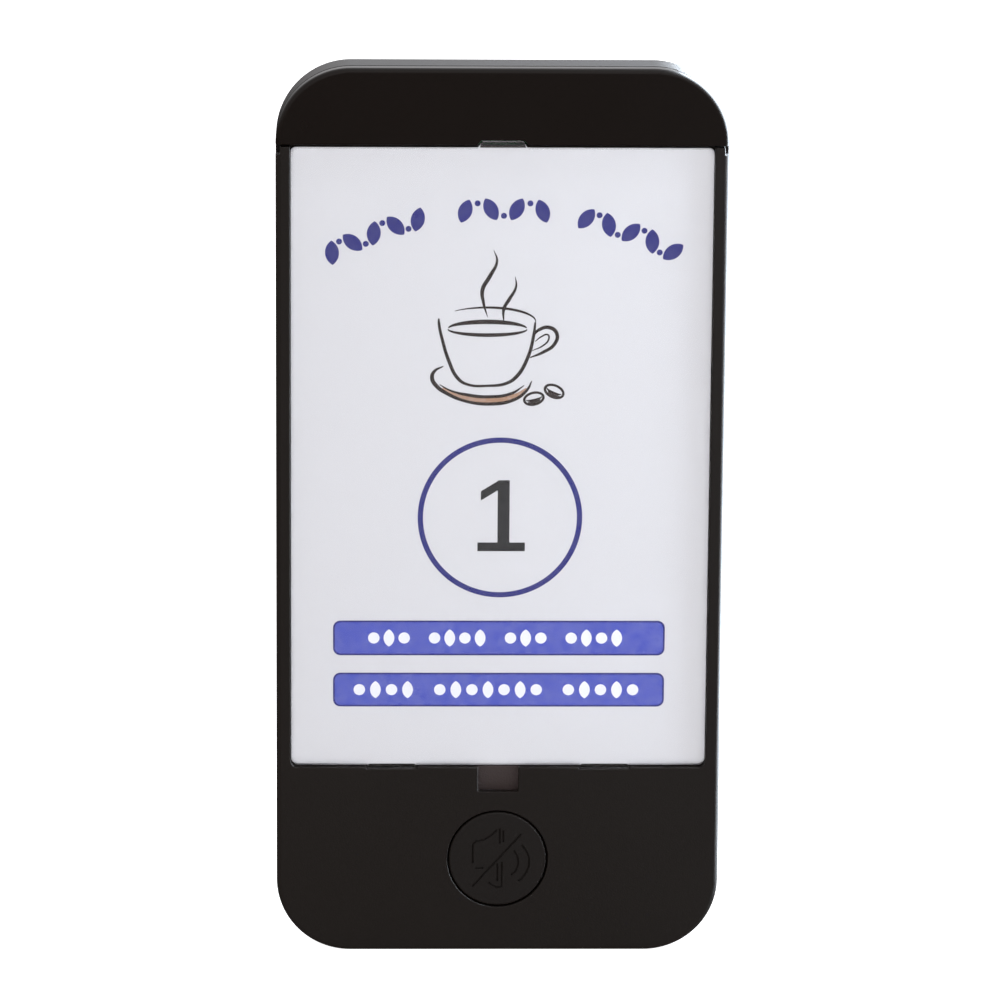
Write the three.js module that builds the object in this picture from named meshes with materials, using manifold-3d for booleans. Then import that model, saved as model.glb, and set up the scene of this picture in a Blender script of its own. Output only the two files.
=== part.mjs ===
// Guest pager with a card window: a thin upright housing with a lamp cap, a clear snap-in cover over
// a printed card, a round mute key, and the electronics inside.
//
// Frame: millimetres. X runs across the width, Y through the depth with the front face towards -Y,
// and Z up the length. The origin is the middle of the bottom edge.

import * as THREE from "three";
import { mergeVertices } from "three/addons/utils/BufferGeometryUtils.js";
import Module from "manifold-3d";

const wasm = await Module();
wasm.setup();

// ---------------------------------------------------------------- driving dimensions

// Housing
const WIDTH = 60;
const HEIGHT = 121.6;
const DEPTH = 10;
const CORNER_RADIUS = 10;
const FRONT_EDGE_RADIUS = 0.7;
const REAR_EDGE_RADIUS = 2.6;
const FRONT_PLATE = 2; // thickness of the front frame and of the lamp cap
const PARTING_GAP = 0.2; // line between the front pieces and the rear shell
const SIDE_WALL = 1.3; // rear shell
const REAR_WALL = 1.4;
const LIP_GAP = 0.3; // between the rear shell's wall and the locating lip inside it
const LIP_WALL = 1;
const LIP_DEPTH = 1.2;

// Front face, from the bottom up
const CHIN_HEIGHT = 25.95;
const CAP_HEIGHT = 10.2;
const CAP_GAP = 0.3;
const RAIL_WIDTH = 1.9;
const WINDOW_CORNER_RADIUS = 1;
const TRAY_FLOOR = 0.95;
const SIDE_NOTCH_HEIGHT = 1;
const SIDE_NOTCH_DEPTH = 0.6;

// Clear cover and printed card
const COVER_RECESS = 0.1; // below the front face
const COVER_THICKNESS = 0.9;
const COVER_SIDE_GAP = 0.15;
const COVER_END_GAP = 0.4;
const TOP_TAB_WIDTH = 7.4;
const TOP_TAB_TIP_WIDTH = 5.3;
const TOP_TAB_HEIGHT = 1;
const LOWER_TAB_WIDTH = 6.5;
const LOWER_TAB_HEIGHT = 0.4;
const LOWER_TAB_OFFSET = 14.4;
const TAB_GAP = 0.2;
const CARD_THICKNESS = 0.3;
const CARD_GAP = 0.1;
const CARD_MARGIN = 0.3; // from the cover's edge to the card's

// Pry notch in the chin
const PRY_WIDTH = 5.5;
const PRY_HEIGHT = 3.4;
const PRY_DEPTH = 1.2;

// Mute key and tact switch
const KEY_RADIUS = 6.5;
const KEY_GROOVE = 0.35;
const KEY_PRY_GAP = 2.65; // between the key's hole and the pry notch
const KEY_RECESS = 0.05;
const KEY_EDGE_RADIUS = 0.25;
const KEY_TRAVEL = 0.35;
const FLANGE_OVERLAP = 0.7; // the flange reaches this far under the chin
const FLANGE_THICKNESS = 0.6;
const FLANGE_GAP = 0.1;
const STEM_RADIUS = 1.6;
const STEM_GAP = 0.1; // between the key's stem and the plunger
const SWITCH_SIZE = 5.2;
const SWITCH_HEIGHT = 1.4;
const PLUNGER_RADIUS = 1.2;
const PLUNGER_GAP = 0.25;
const PLUNGER_LENGTH = 0.8;
const PLUNGER_END_GAP = 0.1; // left under the pressed plunger

// Screws and the posts they draw together
const CASE_SCREW_SIDE = 7.5; // from the sides
const CASE_SCREW_INSET = 7; // from the bottom and from the top
const CASE_SHANK_RADIUS = 0.9;
const CASE_HEAD_RADIUS = 1.9;
const CASE_HEAD_HEIGHT = 1.2;
const CASE_HEAD_RECESS = 1.7; // below the back face
const BOARD_SCREW_SIDE = 8.5; // from the sides
const BOARD_SCREW_LOW = 50;
const BOARD_SCREW_TOP = 17.6; // from the top
const BOARD_SHANK_RADIUS = 0.75;
const BOARD_HEAD_RADIUS = 1.5;
const BOARD_HEAD_HEIGHT = 1;
const BOARD_SHANK_LENGTH = 3;
const SCREW_GAP = 0.2;
const POST_WALL = 1.2;
const SEAT_GAP = 0.1; // under each part that rests on another

// Circuit board
const BOARD_ROOM = 4.4; // from the board's front to the back of the housing
const BOARD_THICKNESS = 1;
const BOARD_EDGE_GAP = 2.9; // from the rear shell's wall
const BOARD_END_GAP = 2.3;
const BOARD_CORNER_RADIUS = 7;

// Battery
const CELL_SIDE_ROOM = 9; // left on the board beside the cell
const CELL_TOP_ROOM = 24.6; // from the cell to the top
const CELL_THICKNESS = 4.2;
const CELL_BOTTOM = 60.5;
const CELL_EDGE_RADIUS = 0.8;
const CELL_CORNER_RADIUS = 1.5;
const CELL_WINDOW_GAP = 0.8;
const STRIP_HEIGHT = 3;
const STRIP_THICKNESS = 1;
const STRIP_MARGIN = 2.8;
const STRIP_GAP = 0.3;
const FOAM_MARGIN = 4.8;
const FOAM_GAP = 0.3;

// Vibration motor
const MOTOR_RADIUS = 2.2;
const MOTOR_LENGTH = 8.8;
const MOTOR_SIDE_GAP = 3.5; // from the shaft's end to the rear shell's wall
const MOTOR_HEIGHT = 40;
const BOOT_WALL = 0.6;
const BOOT_MARGIN = 0.6; // of the can left bare at each end
const BOOT_GAP = 0.05;
const BOOT_SEAT_GAP = 0.3; // to the rear wall
const NOTCH_GAP = 0.4; // board edge to boot
const SHAFT_RADIUS = 0.4;
const SHAFT_LENGTH = 3.8;
const SHAFT_GAP = 0.1;
const SHAFT_SEAT = 1; // depth of the bore that the shaft runs in
const WEIGHT_RADIUS = 2.3;
const WEIGHT_LENGTH = 3;
const WEIGHT_GAP = 0.5; // from the can's end
const HUB_WALL = 0.7;
const PRESS_GAP = 0.02; // between the weight's bore and the shaft
const TERMINAL_OFFSET = 0.9; // of a lead from the motor's axis
const MOTOR_LEAD_RADIUS = 0.36;
const MOTOR_LEAD_RUN = 5;
const MOTOR_LEAD_SPREAD = 1;

// Lamp
const LED_COUNT = 6;
const LED_MARGIN = 1.25; // from the outer LEDs to the light guide's ends
const LED_WIDTH = 3.5;
const LED_HEIGHT = 2.8;
const LED_THICKNESS = 0.9;
const LED_LENS_RADIUS = 1.1;
const LED_LENS_DEPTH = 0.3;
const LED_FROM_TOP = 5.7;
const GUIDE_SCREW_ROOM = 3.5; // from the guide's ends to the case screws' axes
const GUIDE_HEIGHT = 5.4;
const GUIDE_THICKNESS = 1.5;
const GUIDE_GAP = 0.3;
const GUIDE_CORNER_RADIUS = 1.2;
const HOOK_X = 10;
const HOOK_WIDTH = 4;
const HOOK_THICKNESS = 1;
const HOOK_REACH = 3; // below the seam, behind the tray
const HOOK_ROOT = 1.2;

// Charging contacts in the bottom edge
const CONTACT_X = 9;
const CONTACT_BOARD_OFFSET = 0.3; // from the board's front to the pad's middle
const CONTACT_WIDTH = 4.4;
const CONTACT_DEPTH = 1.4;
const CONTACT_SHEET = 0.4;
const CONTACT_RECESS = 0.2;
const CONTACT_LEG_WIDTH = 2;
const CONTACT_LEG_LENGTH = 8;
const CONTACT_SLOT_GAP = 0.3;

// Buzzer and the holes over it
const BUZZER_RADIUS = 4.5;
const BUZZER_HEIGHT = 1.7;
const BUZZER_X = -14;
const BUZZER_Z = 33;
const BUZZER_PORT_RADIUS = 1;
const SOUND_HOLE_RADIUS = 0.6;
const SOUND_HOLE_RING = 2.4;
const SOUND_HOLE_COUNT = 6; // round the middle one

// Antenna coil
const ANTENNA_SIDE_ROOM = 4; // from the board's edge to the coil's axis
const ANTENNA_LENGTH = 22;
const ANTENNA_TURNS = 9;
const ANTENNA_COIL_RADIUS = 1.1;
const ANTENNA_WIRE_RADIUS = 0.3;
const ANTENNA_GAP = 0.15;
const ANTENNA_STEPS_PER_TURN = 10;

// Battery connector and the leads
const HEADER_WIDTH = 6;
const HEADER_HEIGHT = 4.6;
const HEADER_THICKNESS = 2.2;
const HEADER_BOTTOM = 46;
const HEADER_WALL = 0.6;
const PLUG_GAP = 0.15;
const PLUG_LENGTH = 5.4;
const LEAD_RADIUS = 0.45;
const LEAD_SPACING = 2;
const LEAD_SPREAD = 2; // sideways, from the plug to the strip
const LEAD_GAP = 0.3; // from a lead's end to what it enters

// How finely round shapes are cut
const KEY_SIDES = 48;
const CAN_SIDES = 28;
const POST_SIDES = 24;
const HEAD_SIDES = 20;
const HOLE_SIDES = 14;
const LEAD_SIDES = 6;
const LEAD_STEPS = 8;
const EDGE_STEPS = 3;

// Working allowances: how far joined shapes run into each other, and how far a cut runs past what it cuts
const OVERLAP = 0.5;
const BEYOND = 1;

// ---------------------------------------------------------------- derived planes and sizes

const frontY = -DEPTH / 2;
const backY = DEPTH / 2;
const plateBackY = frontY + FRONT_PLATE;
const shellFrontY = plateBackY + PARTING_GAP;
const shellInnerY = backY - REAR_WALL;
const frameTop = HEIGHT - CAP_HEIGHT - CAP_GAP;
const capBottom = HEIGHT - CAP_HEIGHT;
const windowHalf = WIDTH / 2 - RAIL_WIDTH;
const lipInset = SIDE_WALL + LIP_GAP;
const lipBackY = plateBackY + LIP_DEPTH;

const coverFrontY = frontY + COVER_RECESS;
const coverBackY = coverFrontY + COVER_THICKNESS;
const coverHalf = windowHalf - COVER_SIDE_GAP;
const coverBottom = CHIN_HEIGHT + COVER_END_GAP;
const coverTop = capBottom - COVER_END_GAP - CAP_GAP / 2;
const cardFrontY = coverBackY + CARD_GAP;
const cardBackY = cardFrontY + CARD_THICKNESS;
const trayFrontY = cardBackY + CARD_GAP;
const trayBackY = trayFrontY + TRAY_FLOOR;

const boardFrontY = backY - BOARD_ROOM;
const boardBackY = boardFrontY + BOARD_THICKNESS;
const boardInset = SIDE_WALL + BOARD_EDGE_GAP;
const boardHalf = WIDTH / 2 - boardInset;
const boardBottom = SIDE_WALL + BOARD_END_GAP;
const boardTop = HEIGHT - boardBottom;

const caseScrewX = WIDTH / 2 - CASE_SCREW_SIDE;
const caseScrewHeights = [CASE_SCREW_INSET, HEIGHT - CASE_SCREW_INSET];
const boardScrewX = WIDTH / 2 - BOARD_SCREW_SIDE;
const boardScrewHeights = [BOARD_SCREW_LOW, HEIGHT - BOARD_SCREW_TOP];
const sides = [-1, 1];
const headSeatY = backY - CASE_HEAD_RECESS - CASE_HEAD_HEIGHT;
const counterboreY = headSeatY - SEAT_GAP;
const standoffFrontY = counterboreY - POST_WALL + SCREW_GAP;
const casePostY = standoffFrontY - SCREW_GAP;
const keyHeight = CHIN_HEIGHT - PRY_HEIGHT - KEY_PRY_GAP - KEY_RADIUS - KEY_GROOVE;
const casePostRadius = CASE_SHANK_RADIUS + SCREW_GAP + POST_WALL;
const standoffRadius = CASE_HEAD_RADIUS + 2 * SCREW_GAP + POST_WALL - SCREW_GAP;
const boardPostY = boardFrontY - SEAT_GAP;
const boardPostRadius = BOARD_SHANK_RADIUS + SCREW_GAP + POST_WALL - SCREW_GAP;

// ---------------------------------------------------------------- materials

const material = (name, color, roughness, metalness = 0) => {
  const made = new THREE.MeshStandardMaterial({ color, roughness, metalness });
  made.name = name;
  return made;
};
const matteBlack = material("matte_black", 0x27221f, 0.55);
const capBlack = material("cap_black", 0x1d1916, 0.32);
const clearPlastic = material("clear_plastic", 0xeef1f4, 0.08);
const cardWhite = material("card_white", 0xe4e4ea, 0.6);
const boardGreen = material("board_green", 0x1e5a34, 0.5);
const chipBlack = material("chip_black", 0x18181a, 0.5);
const steel = material("steel", 0xb9bcc0, 0.3, 1);
const gold = material("gold_plate", 0xc8a04a, 0.3, 1);
const tungsten = material("tungsten", 0x7b7c80, 0.4, 1);
const foilSilver = material("foil_silver", 0xb4b7bb, 0.35, 0.8);
const foamBlack = material("foam_black", 0x202022, 0.95);
const rubberBlack = material("rubber_black", 0x222224, 0.8);
const switchWhite = material("connector_white", 0xe6e2d6, 0.5);
const lampWhite = material("lamp_white", 0xf3f0e4, 0.35);
const leadRed = material("lead_red", 0xb5201c, 0.45);
const leadBlack = material("lead_black", 0x161616, 0.45);
const ceramicTan = material("ceramic_tan", 0xa98a63, 0.5);

// ---------------------------------------------------------------- solids

// A closed geometry as a solid, with only its positions kept.
function solidOf(geometry) {
  const bare = geometry.clone();
  bare.deleteAttribute("normal");
  bare.deleteAttribute("uv");
  const merged = mergeVertices(bare);
  return new wasm.Manifold(
    new wasm.Mesh({
      numProp: 3,
      vertProperties: merged.getAttribute("position").array,
      triVerts: new Uint32Array(merged.index.array),
    })
  );
}

const join = (first, ...others) => others.reduce((made, other) => made.add(other), first);
const cut = (first, ...others) => others.reduce((made, other) => made.subtract(other), first);

// A box between two corners.
function box(x0, x1, y0, y1, z0, z1) {
  const geometry = new THREE.BoxGeometry(x1 - x0, y1 - y0, z1 - z0);
  geometry.translate((x0 + x1) / 2, (y0 + y1) / 2, (z0 + z1) / 2);
  return solidOf(geometry);
}

// A round bar along the depth, from y0 to y1.
function barY(x, z, radius, y0, y1, segments = POST_SIDES) {
  const geometry = new THREE.CylinderGeometry(radius, radius, y1 - y0, segments);
  geometry.translate(x, (y0 + y1) / 2, z);
  return solidOf(geometry);
}

// A round bar across the width, from x0 to x1.
function barX(y, z, radius, x0, x1, segments = CAN_SIDES) {
  const geometry = new THREE.CylinderGeometry(radius, radius, x1 - x0, segments);
  geometry.rotateZ(Math.PI / 2);
  geometry.translate((x0 + x1) / 2, y, z);
  return solidOf(geometry);
}

// A rectangle with round corners, drawn in X and Z.
function roundedRectangle(x0, x1, z0, z1, radius) {
  const shape = new THREE.Shape();
  shape.moveTo(x0 + radius, z0);
  shape.lineTo(x1 - radius, z0);
  shape.absarc(x1 - radius, z0 + radius, radius, -Math.PI / 2, 0, false);
  shape.lineTo(x1, z1 - radius);
  shape.absarc(x1 - radius, z1 - radius, radius, 0, Math.PI / 2, false);
  shape.lineTo(x0 + radius, z1);
  shape.absarc(x0 + radius, z1 - radius, radius, Math.PI / 2, Math.PI, false);
  shape.lineTo(x0, z0 + radius);
  shape.absarc(x0 + radius, z0 + radius, radius, Math.PI, Math.PI * 1.5, false);
  return shape;
}

// The housing's outline, drawn in from its outer edge.
function housingOutline(inset) {
  const half = WIDTH / 2 - inset;
  return roundedRectangle(-half, half, inset, HEIGHT - inset, CORNER_RADIUS - inset);
}

// A plate of a given outline from y0 to y1. With an edge radius, both of its faces' edges are rounded.
// Each corner arc is cut into twice curveSegments.
function plate(shape, y0, y1, edgeRadius = 0, curveSegments = 5) {
  const geometry = new THREE.ExtrudeGeometry(shape, {
    depth: y1 - y0 - 2 * edgeRadius,
    curveSegments,
    bevelEnabled: edgeRadius > 0,
    bevelSize: edgeRadius,
    bevelThickness: edgeRadius,
    bevelOffset: -edgeRadius,
    bevelSegments: EDGE_STEPS,
  });
  geometry.rotateX(Math.PI / 2);
  geometry.translate(0, y1 - edgeRadius, 0);
  return solidOf(geometry);
}

// A round tube or wire along a path.
function wire(path, radius, steps, sides) {
  const section = new THREE.Shape();
  section.absarc(0, 0, radius, 0, 2 * Math.PI, false);
  return solidOf(
    new THREE.ExtrudeGeometry(section, { extrudePath: path, steps, curveSegments: sides / 2 })
  );
}

const everything = 2 * (WIDTH + HEIGHT + DEPTH);

// The slab of space between two heights.
const between = (z0, z1) => box(-everything, everything, -everything, everything, z0, z1);

// The front plate of the housing with its rounded front edge, before it is parted into frame and cap.
function frontPlate() {
  const rounded = plate(housingOutline(0), frontY, backY, FRONT_EDGE_RADIUS);
  return rounded.intersect(box(-WIDTH, WIDTH, frontY - BEYOND, plateBackY, -BEYOND, HEIGHT + BEYOND));
}

// The lip that locates the front pieces inside the rear shell.
function locatingLip() {
  const outer = plate(housingOutline(lipInset), plateBackY - OVERLAP, lipBackY);
  const inner = plate(housingOutline(lipInset + LIP_WALL), plateBackY - BEYOND, lipBackY + BEYOND);
  return cut(outer, inner);
}

// The cover's top tab as a plate, grown by a clearance for the notch that it sits in.
function topTab(gap, y0, y1) {
  const shape = new THREE.Shape();
  const base = TOP_TAB_WIDTH / 2 + gap;
  const tip = TOP_TAB_TIP_WIDTH / 2 + gap;
  shape.moveTo(-base, coverTop - OVERLAP);
  shape.lineTo(base, coverTop - OVERLAP);
  shape.lineTo(base, coverTop);
  shape.lineTo(tip, coverTop + TOP_TAB_HEIGHT + gap);
  shape.lineTo(-tip, coverTop + TOP_TAB_HEIGHT + gap);
  shape.lineTo(-base, coverTop);
  return plate(shape, y0, y1);
}

// One of the cover's two lower tabs, or the pocket for it.
function lowerTab(side, gap, y0, y1) {
  const half = LOWER_TAB_WIDTH / 2 + gap;
  const middle = side * LOWER_TAB_OFFSET;
  const low = coverBottom - LOWER_TAB_HEIGHT - gap;
  return box(middle - half, middle + half, y0, y1, low, coverBottom + OVERLAP);
}

// ---------------------------------------------------------------- housing

function frontFrame() {
  const plateBelowCap = frontPlate().intersect(between(-BEYOND, frameTop));
  const pocket = plate(
    roundedRectangle(-windowHalf, windowHalf, CHIN_HEIGHT, HEIGHT, WINDOW_CORNER_RADIUS),
    frontY - BEYOND,
    trayFrontY,
    0,
    2
  );
  const tray = plate(housingOutline(lipInset), trayFrontY, trayBackY).intersect(
    between(CHIN_HEIGHT - LIP_WALL, frameTop)
  );
  const lip = locatingLip().intersect(between(-BEYOND, frameTop));
  let made = join(cut(plateBelowCap, pocket), tray, lip);
  for (const side of sides) {
    const notchInner = WIDTH / 2 - SIDE_NOTCH_DEPTH;
    const notch = box(
      Math.min(side * notchInner, side * WIDTH),
      Math.max(side * notchInner, side * WIDTH),
      frontY - BEYOND,
      plateBackY + BEYOND,
      frameTop - SIDE_NOTCH_HEIGHT,
      HEIGHT
    );
    made = cut(made, notch, lowerTab(side, TAB_GAP, frontY - BEYOND, trayFrontY));
    const postX = side * caseScrewX;
    made = join(made, barY(postX, CASE_SCREW_INSET, casePostRadius, plateBackY - OVERLAP, casePostY));
    const hole = CASE_SHANK_RADIUS + SCREW_GAP;
    made = cut(made, barY(postX, CASE_SCREW_INSET, hole, plateBackY, casePostY + BEYOND));
    for (const z of boardScrewHeights) {
      const boardX = side * boardScrewX;
      made = join(made, barY(boardX, z, boardPostRadius, trayBackY - OVERLAP, boardPostY));
      const pilot = BOARD_SHANK_RADIUS + SCREW_GAP;
      made = cut(made, barY(boardX, z, pilot, trayBackY, boardPostY + BEYOND, HOLE_SIDES));
    }
  }
  const keyHoleRadius = KEY_RADIUS + KEY_GROOVE;
  const keyHole = barY(0, keyHeight, keyHoleRadius, frontY - BEYOND, lipBackY + BEYOND, KEY_SIDES);
  const pry = box(
    -PRY_WIDTH / 2,
    PRY_WIDTH / 2,
    frontY - BEYOND,
    frontY + PRY_DEPTH,
    CHIN_HEIGHT - PRY_HEIGHT,
    CHIN_HEIGHT + BEYOND
  );
  return cut(made, keyHole, pry);
}

function topCap() {
  const plateAboveSeam = frontPlate().intersect(between(capBottom, HEIGHT + BEYOND));
  const lip = locatingLip().intersect(between(capBottom, HEIGHT + BEYOND));
  let made = cut(join(plateAboveSeam, lip), topTab(TAB_GAP, frontY - BEYOND, trayFrontY));
  const postZ = HEIGHT - CASE_SCREW_INSET;
  const hookFrontY = trayBackY + SEAT_GAP + CAP_GAP;
  for (const side of sides) {
    const postX = side * caseScrewX;
    made = join(made, barY(postX, postZ, casePostRadius, plateBackY - OVERLAP, casePostY));
    const hole = CASE_SHANK_RADIUS + SCREW_GAP;
    made = cut(made, barY(postX, postZ, hole, plateBackY, casePostY + BEYOND));
    const hookLeft = side * HOOK_X - HOOK_WIDTH / 2;
    const hookRight = side * HOOK_X + HOOK_WIDTH / 2;
    const root = box(
      hookLeft,
      hookRight,
      plateBackY - OVERLAP,
      hookFrontY + HOOK_THICKNESS,
      capBottom,
      capBottom + HOOK_ROOT
    );
    const tongue = box(
      hookLeft,
      hookRight,
      hookFrontY,
      hookFrontY + HOOK_THICKNESS,
      capBottom - HOOK_REACH,
      capBottom + HOOK_ROOT
    );
    made = join(made, root, tongue);
  }
  return made;
}

function rearShell() {
  const outer = plate(housingOutline(0), frontY, backY, REAR_EDGE_RADIUS).intersect(
    box(-WIDTH, WIDTH, shellFrontY, backY + BEYOND, -BEYOND, HEIGHT + BEYOND)
  );
  const innerEdge = REAR_EDGE_RADIUS - SIDE_WALL;
  const cavity = plate(housingOutline(SIDE_WALL), frontY - DEPTH, shellInnerY, innerEdge);
  let made = cut(outer, cavity);
  for (const side of sides) {
    const screwX = side * caseScrewX;
    for (const z of caseScrewHeights) {
      made = join(made, barY(screwX, z, standoffRadius, standoffFrontY, shellInnerY + OVERLAP));
      made = cut(
        made,
        barY(screwX, z, CASE_HEAD_RADIUS + 2 * SCREW_GAP, counterboreY, backY + BEYOND),
        barY(screwX, z, CASE_SHANK_RADIUS + SCREW_GAP, standoffFrontY - BEYOND, backY + BEYOND)
      );
    }
    const slotHalf = CONTACT_WIDTH / 2 + CONTACT_SLOT_GAP;
    const slotFrontY = contactY - CONTACT_DEPTH / 2 - CONTACT_SLOT_GAP;
    const slotBackY = contactY + CONTACT_DEPTH / 2 + CONTACT_SLOT_GAP;
    const middle = side * CONTACT_X;
    made = cut(
      made,
      box(middle - slotHalf, middle + slotHalf, slotFrontY, slotBackY, -BEYOND, SIDE_WALL + BEYOND)
    );
  }
  const soundHole = (x, z) =>
    barY(x, z, SOUND_HOLE_RADIUS, shellInnerY - BEYOND, backY + BEYOND, HOLE_SIDES);
  made = cut(made, soundHole(BUZZER_X, BUZZER_Z));
  for (let i = 0; i < SOUND_HOLE_COUNT; i += 1) {
    const angle = (2 * Math.PI * i) / SOUND_HOLE_COUNT;
    const x = BUZZER_X + SOUND_HOLE_RING * Math.cos(angle);
    const z = BUZZER_Z + SOUND_HOLE_RING * Math.sin(angle);
    made = cut(made, soundHole(x, z));
  }
  return made;
}

// ---------------------------------------------------------------- cover and card

function clearCover() {
  const body = plate(
    roundedRectangle(-coverHalf, coverHalf, coverBottom, coverTop, WINDOW_CORNER_RADIUS),
    coverFrontY,
    coverBackY,
    0,
    2
  );
  const tabs = sides.map((side) => lowerTab(side, 0, coverFrontY, coverBackY));
  return join(body, topTab(0, coverFrontY, coverBackY), ...tabs);
}

function cardInsert() {
  const half = coverHalf - CARD_MARGIN;
  const low = coverBottom + CARD_MARGIN;
  const high = coverTop - CARD_MARGIN;
  const shape = roundedRectangle(-half, half, low, high, WINDOW_CORNER_RADIUS - CARD_MARGIN);
  return plate(shape, cardFrontY, cardBackY, 0, 2);
}

// ---------------------------------------------------------------- mute key and switch

const flangeFrontY = plateBackY + FLANGE_GAP;
const flangeBackY = flangeFrontY + FLANGE_THICKNESS;
const switchBackY = boardFrontY - SEAT_GAP;
const switchFrontY = switchBackY - SWITCH_HEIGHT;
const boreFloorY = switchFrontY + PLUNGER_LENGTH / 2 + KEY_TRAVEL + PLUNGER_END_GAP;
const plungerFrontY = switchFrontY - PLUNGER_LENGTH / 2;
const plungerBackY = switchFrontY + PLUNGER_LENGTH / 2;
const stemBackY = plungerFrontY - STEM_GAP;

function muteButton() {
  const face = frontY + KEY_RECESS;
  const profile = [new THREE.Vector2(0, face)];
  for (let i = 0; i <= EDGE_STEPS; i += 1) {
    const angle = (Math.PI / 2) * (i / EDGE_STEPS);
    const r = KEY_RADIUS - KEY_EDGE_RADIUS + KEY_EDGE_RADIUS * Math.sin(angle);
    profile.push(new THREE.Vector2(r, face + KEY_EDGE_RADIUS * (1 - Math.cos(angle))));
  }
  const flange = KEY_RADIUS + KEY_GROOVE + FLANGE_OVERLAP;
  profile.push(new THREE.Vector2(KEY_RADIUS, flangeFrontY));
  profile.push(new THREE.Vector2(flange, flangeFrontY));
  profile.push(new THREE.Vector2(flange, flangeBackY));
  profile.push(new THREE.Vector2(STEM_RADIUS, flangeBackY));
  profile.push(new THREE.Vector2(STEM_RADIUS, stemBackY));
  profile.push(new THREE.Vector2(0, stemBackY));
  const geometry = new THREE.LatheGeometry(profile, KEY_SIDES);
  geometry.translate(0, 0, keyHeight);
  return solidOf(geometry);
}

function switchBody() {
  const half = SWITCH_SIZE / 2;
  const body = box(
    -half,
    half,
    switchFrontY,
    switchBackY,
    keyHeight - half,
    keyHeight + half
  );
  const bore = PLUNGER_RADIUS + PLUNGER_GAP;
  return cut(body, barY(0, keyHeight, bore, switchFrontY - BEYOND, boreFloorY));
}

const switchPlunger = () => barY(0, keyHeight, PLUNGER_RADIUS, plungerFrontY, plungerBackY);

// ---------------------------------------------------------------- screws

// A pan-head screw from behind: the head's seat is at seatY, and the shank runs towards the front.
function screw(x, z, seatY, headRadius, headHeight, shankRadius, tipY) {
  const head = barY(x, z, headRadius, seatY, seatY + headHeight, HEAD_SIDES);
  return join(head, barY(x, z, shankRadius, tipY, seatY + OVERLAP, HOLE_SIDES));
}

const caseScrew = (x, z) =>
  screw(
    x,
    z,
    headSeatY,
    CASE_HEAD_RADIUS,
    CASE_HEAD_HEIGHT,
    CASE_SHANK_RADIUS,
    plateBackY + SCREW_GAP
  );

const boardScrew = (x, z) =>
  screw(
    x,
    z,
    boardBackY + SEAT_GAP,
    BOARD_HEAD_RADIUS,
    BOARD_HEAD_HEIGHT,
    BOARD_SHANK_RADIUS,
    boardBackY - BOARD_SHANK_LENGTH
  );

// ---------------------------------------------------------------- board and what is on it

const bootHalf = MOTOR_RADIUS + BOOT_WALL;
const cellHalf = boardHalf - CELL_SIDE_ROOM;
const cellTop = HEIGHT - CELL_TOP_ROOM;
const cellFrontY = trayBackY + SEAT_GAP + FOAM_GAP;
const stripTop = CELL_BOTTOM - STRIP_GAP;
const stripBottom = stripTop - STRIP_HEIGHT;

function mainBoard() {
  const outline = roundedRectangle(
    -boardHalf,
    boardHalf,
    boardBottom,
    boardTop,
    BOARD_CORNER_RADIUS
  );
  let made = plate(outline, boardFrontY, boardBackY);
  const below = boardFrontY - BEYOND;
  const behind = boardBackY + BEYOND;
  const gap = CELL_WINDOW_GAP;
  const cellWindow = box(
    -cellHalf - gap,
    cellHalf + gap,
    below,
    behind,
    stripBottom - gap,
    cellTop + gap
  );
  const motorNotch = box(
    motorLeft - NOTCH_GAP,
    WIDTH,
    below,
    behind,
    MOTOR_HEIGHT - bootHalf - NOTCH_GAP,
    MOTOR_HEIGHT + bootHalf + NOTCH_GAP
  );
  made = cut(made, cellWindow, motorNotch);
  for (const side of sides) {
    for (const z of caseScrewHeights) {
      const notch = standoffRadius + 2 * SCREW_GAP;
      made = cut(made, barY(side * caseScrewX, z, notch, below, behind, CAN_SIDES));
    }
    for (const z of boardScrewHeights) {
      const hole = BOARD_SHANK_RADIUS + SCREW_GAP;
      made = cut(made, barY(side * boardScrewX, z, hole, below, behind, HOLE_SIDES));
    }
  }
  return made;
}

// Chips and other blocks on the board's rear face: the middle and the size of each.
const rearBlocks = [
  { name: "mcu_chip", x: -2, z: 40, width: 7, height: 7, thickness: 1, look: chipBlack },
  { name: "receiver_chip", x: -18, z: 45, width: 5, height: 4, thickness: 1.1, look: chipBlack },
  { name: "charger_chip", x: 9, z: 20, width: 4, height: 5, thickness: 1.1, look: chipBlack },
  { name: "crystal", x: -9, z: 47, width: 5, height: 3.2, thickness: 1, look: steel },
  { name: "power_inductor", x: 16, z: 22, width: 5, height: 5, thickness: 1.6, look: chipBlack },
  { name: "capacitor_1", x: 3, z: 20, width: 1.6, height: 3.2, thickness: 1.2, look: ceramicTan },
  { name: "capacitor_2", x: 3, z: 28, width: 1.6, height: 3.2, thickness: 1.2, look: ceramicTan },
  { name: "capacitor_3", x: -12, z: 22, width: 1.6, height: 3.2, thickness: 1.2, look: ceramicTan },
];

function rearBlock({ x, z, width, height, thickness }) {
  const y0 = boardBackY + SEAT_GAP;
  return box(x - width / 2, x + width / 2, y0, y0 + thickness, z - height / 2, z + height / 2);
}

function buzzer() {
  const y0 = boardBackY + SEAT_GAP;
  const y1 = y0 + BUZZER_HEIGHT;
  const body = barY(BUZZER_X, BUZZER_Z, BUZZER_RADIUS, y0, y1, CAN_SIDES);
  const floor = y0 + BUZZER_HEIGHT / 2;
  const port = barY(BUZZER_X, BUZZER_Z, BUZZER_PORT_RADIUS, floor, y1 + BEYOND, HOLE_SIDES);
  return cut(body, port);
}

const antennaX = ANTENNA_SIDE_ROOM - boardHalf;
const antennaMiddle = (boardScrewHeights[0] + boardScrewHeights[1]) / 2;

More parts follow.
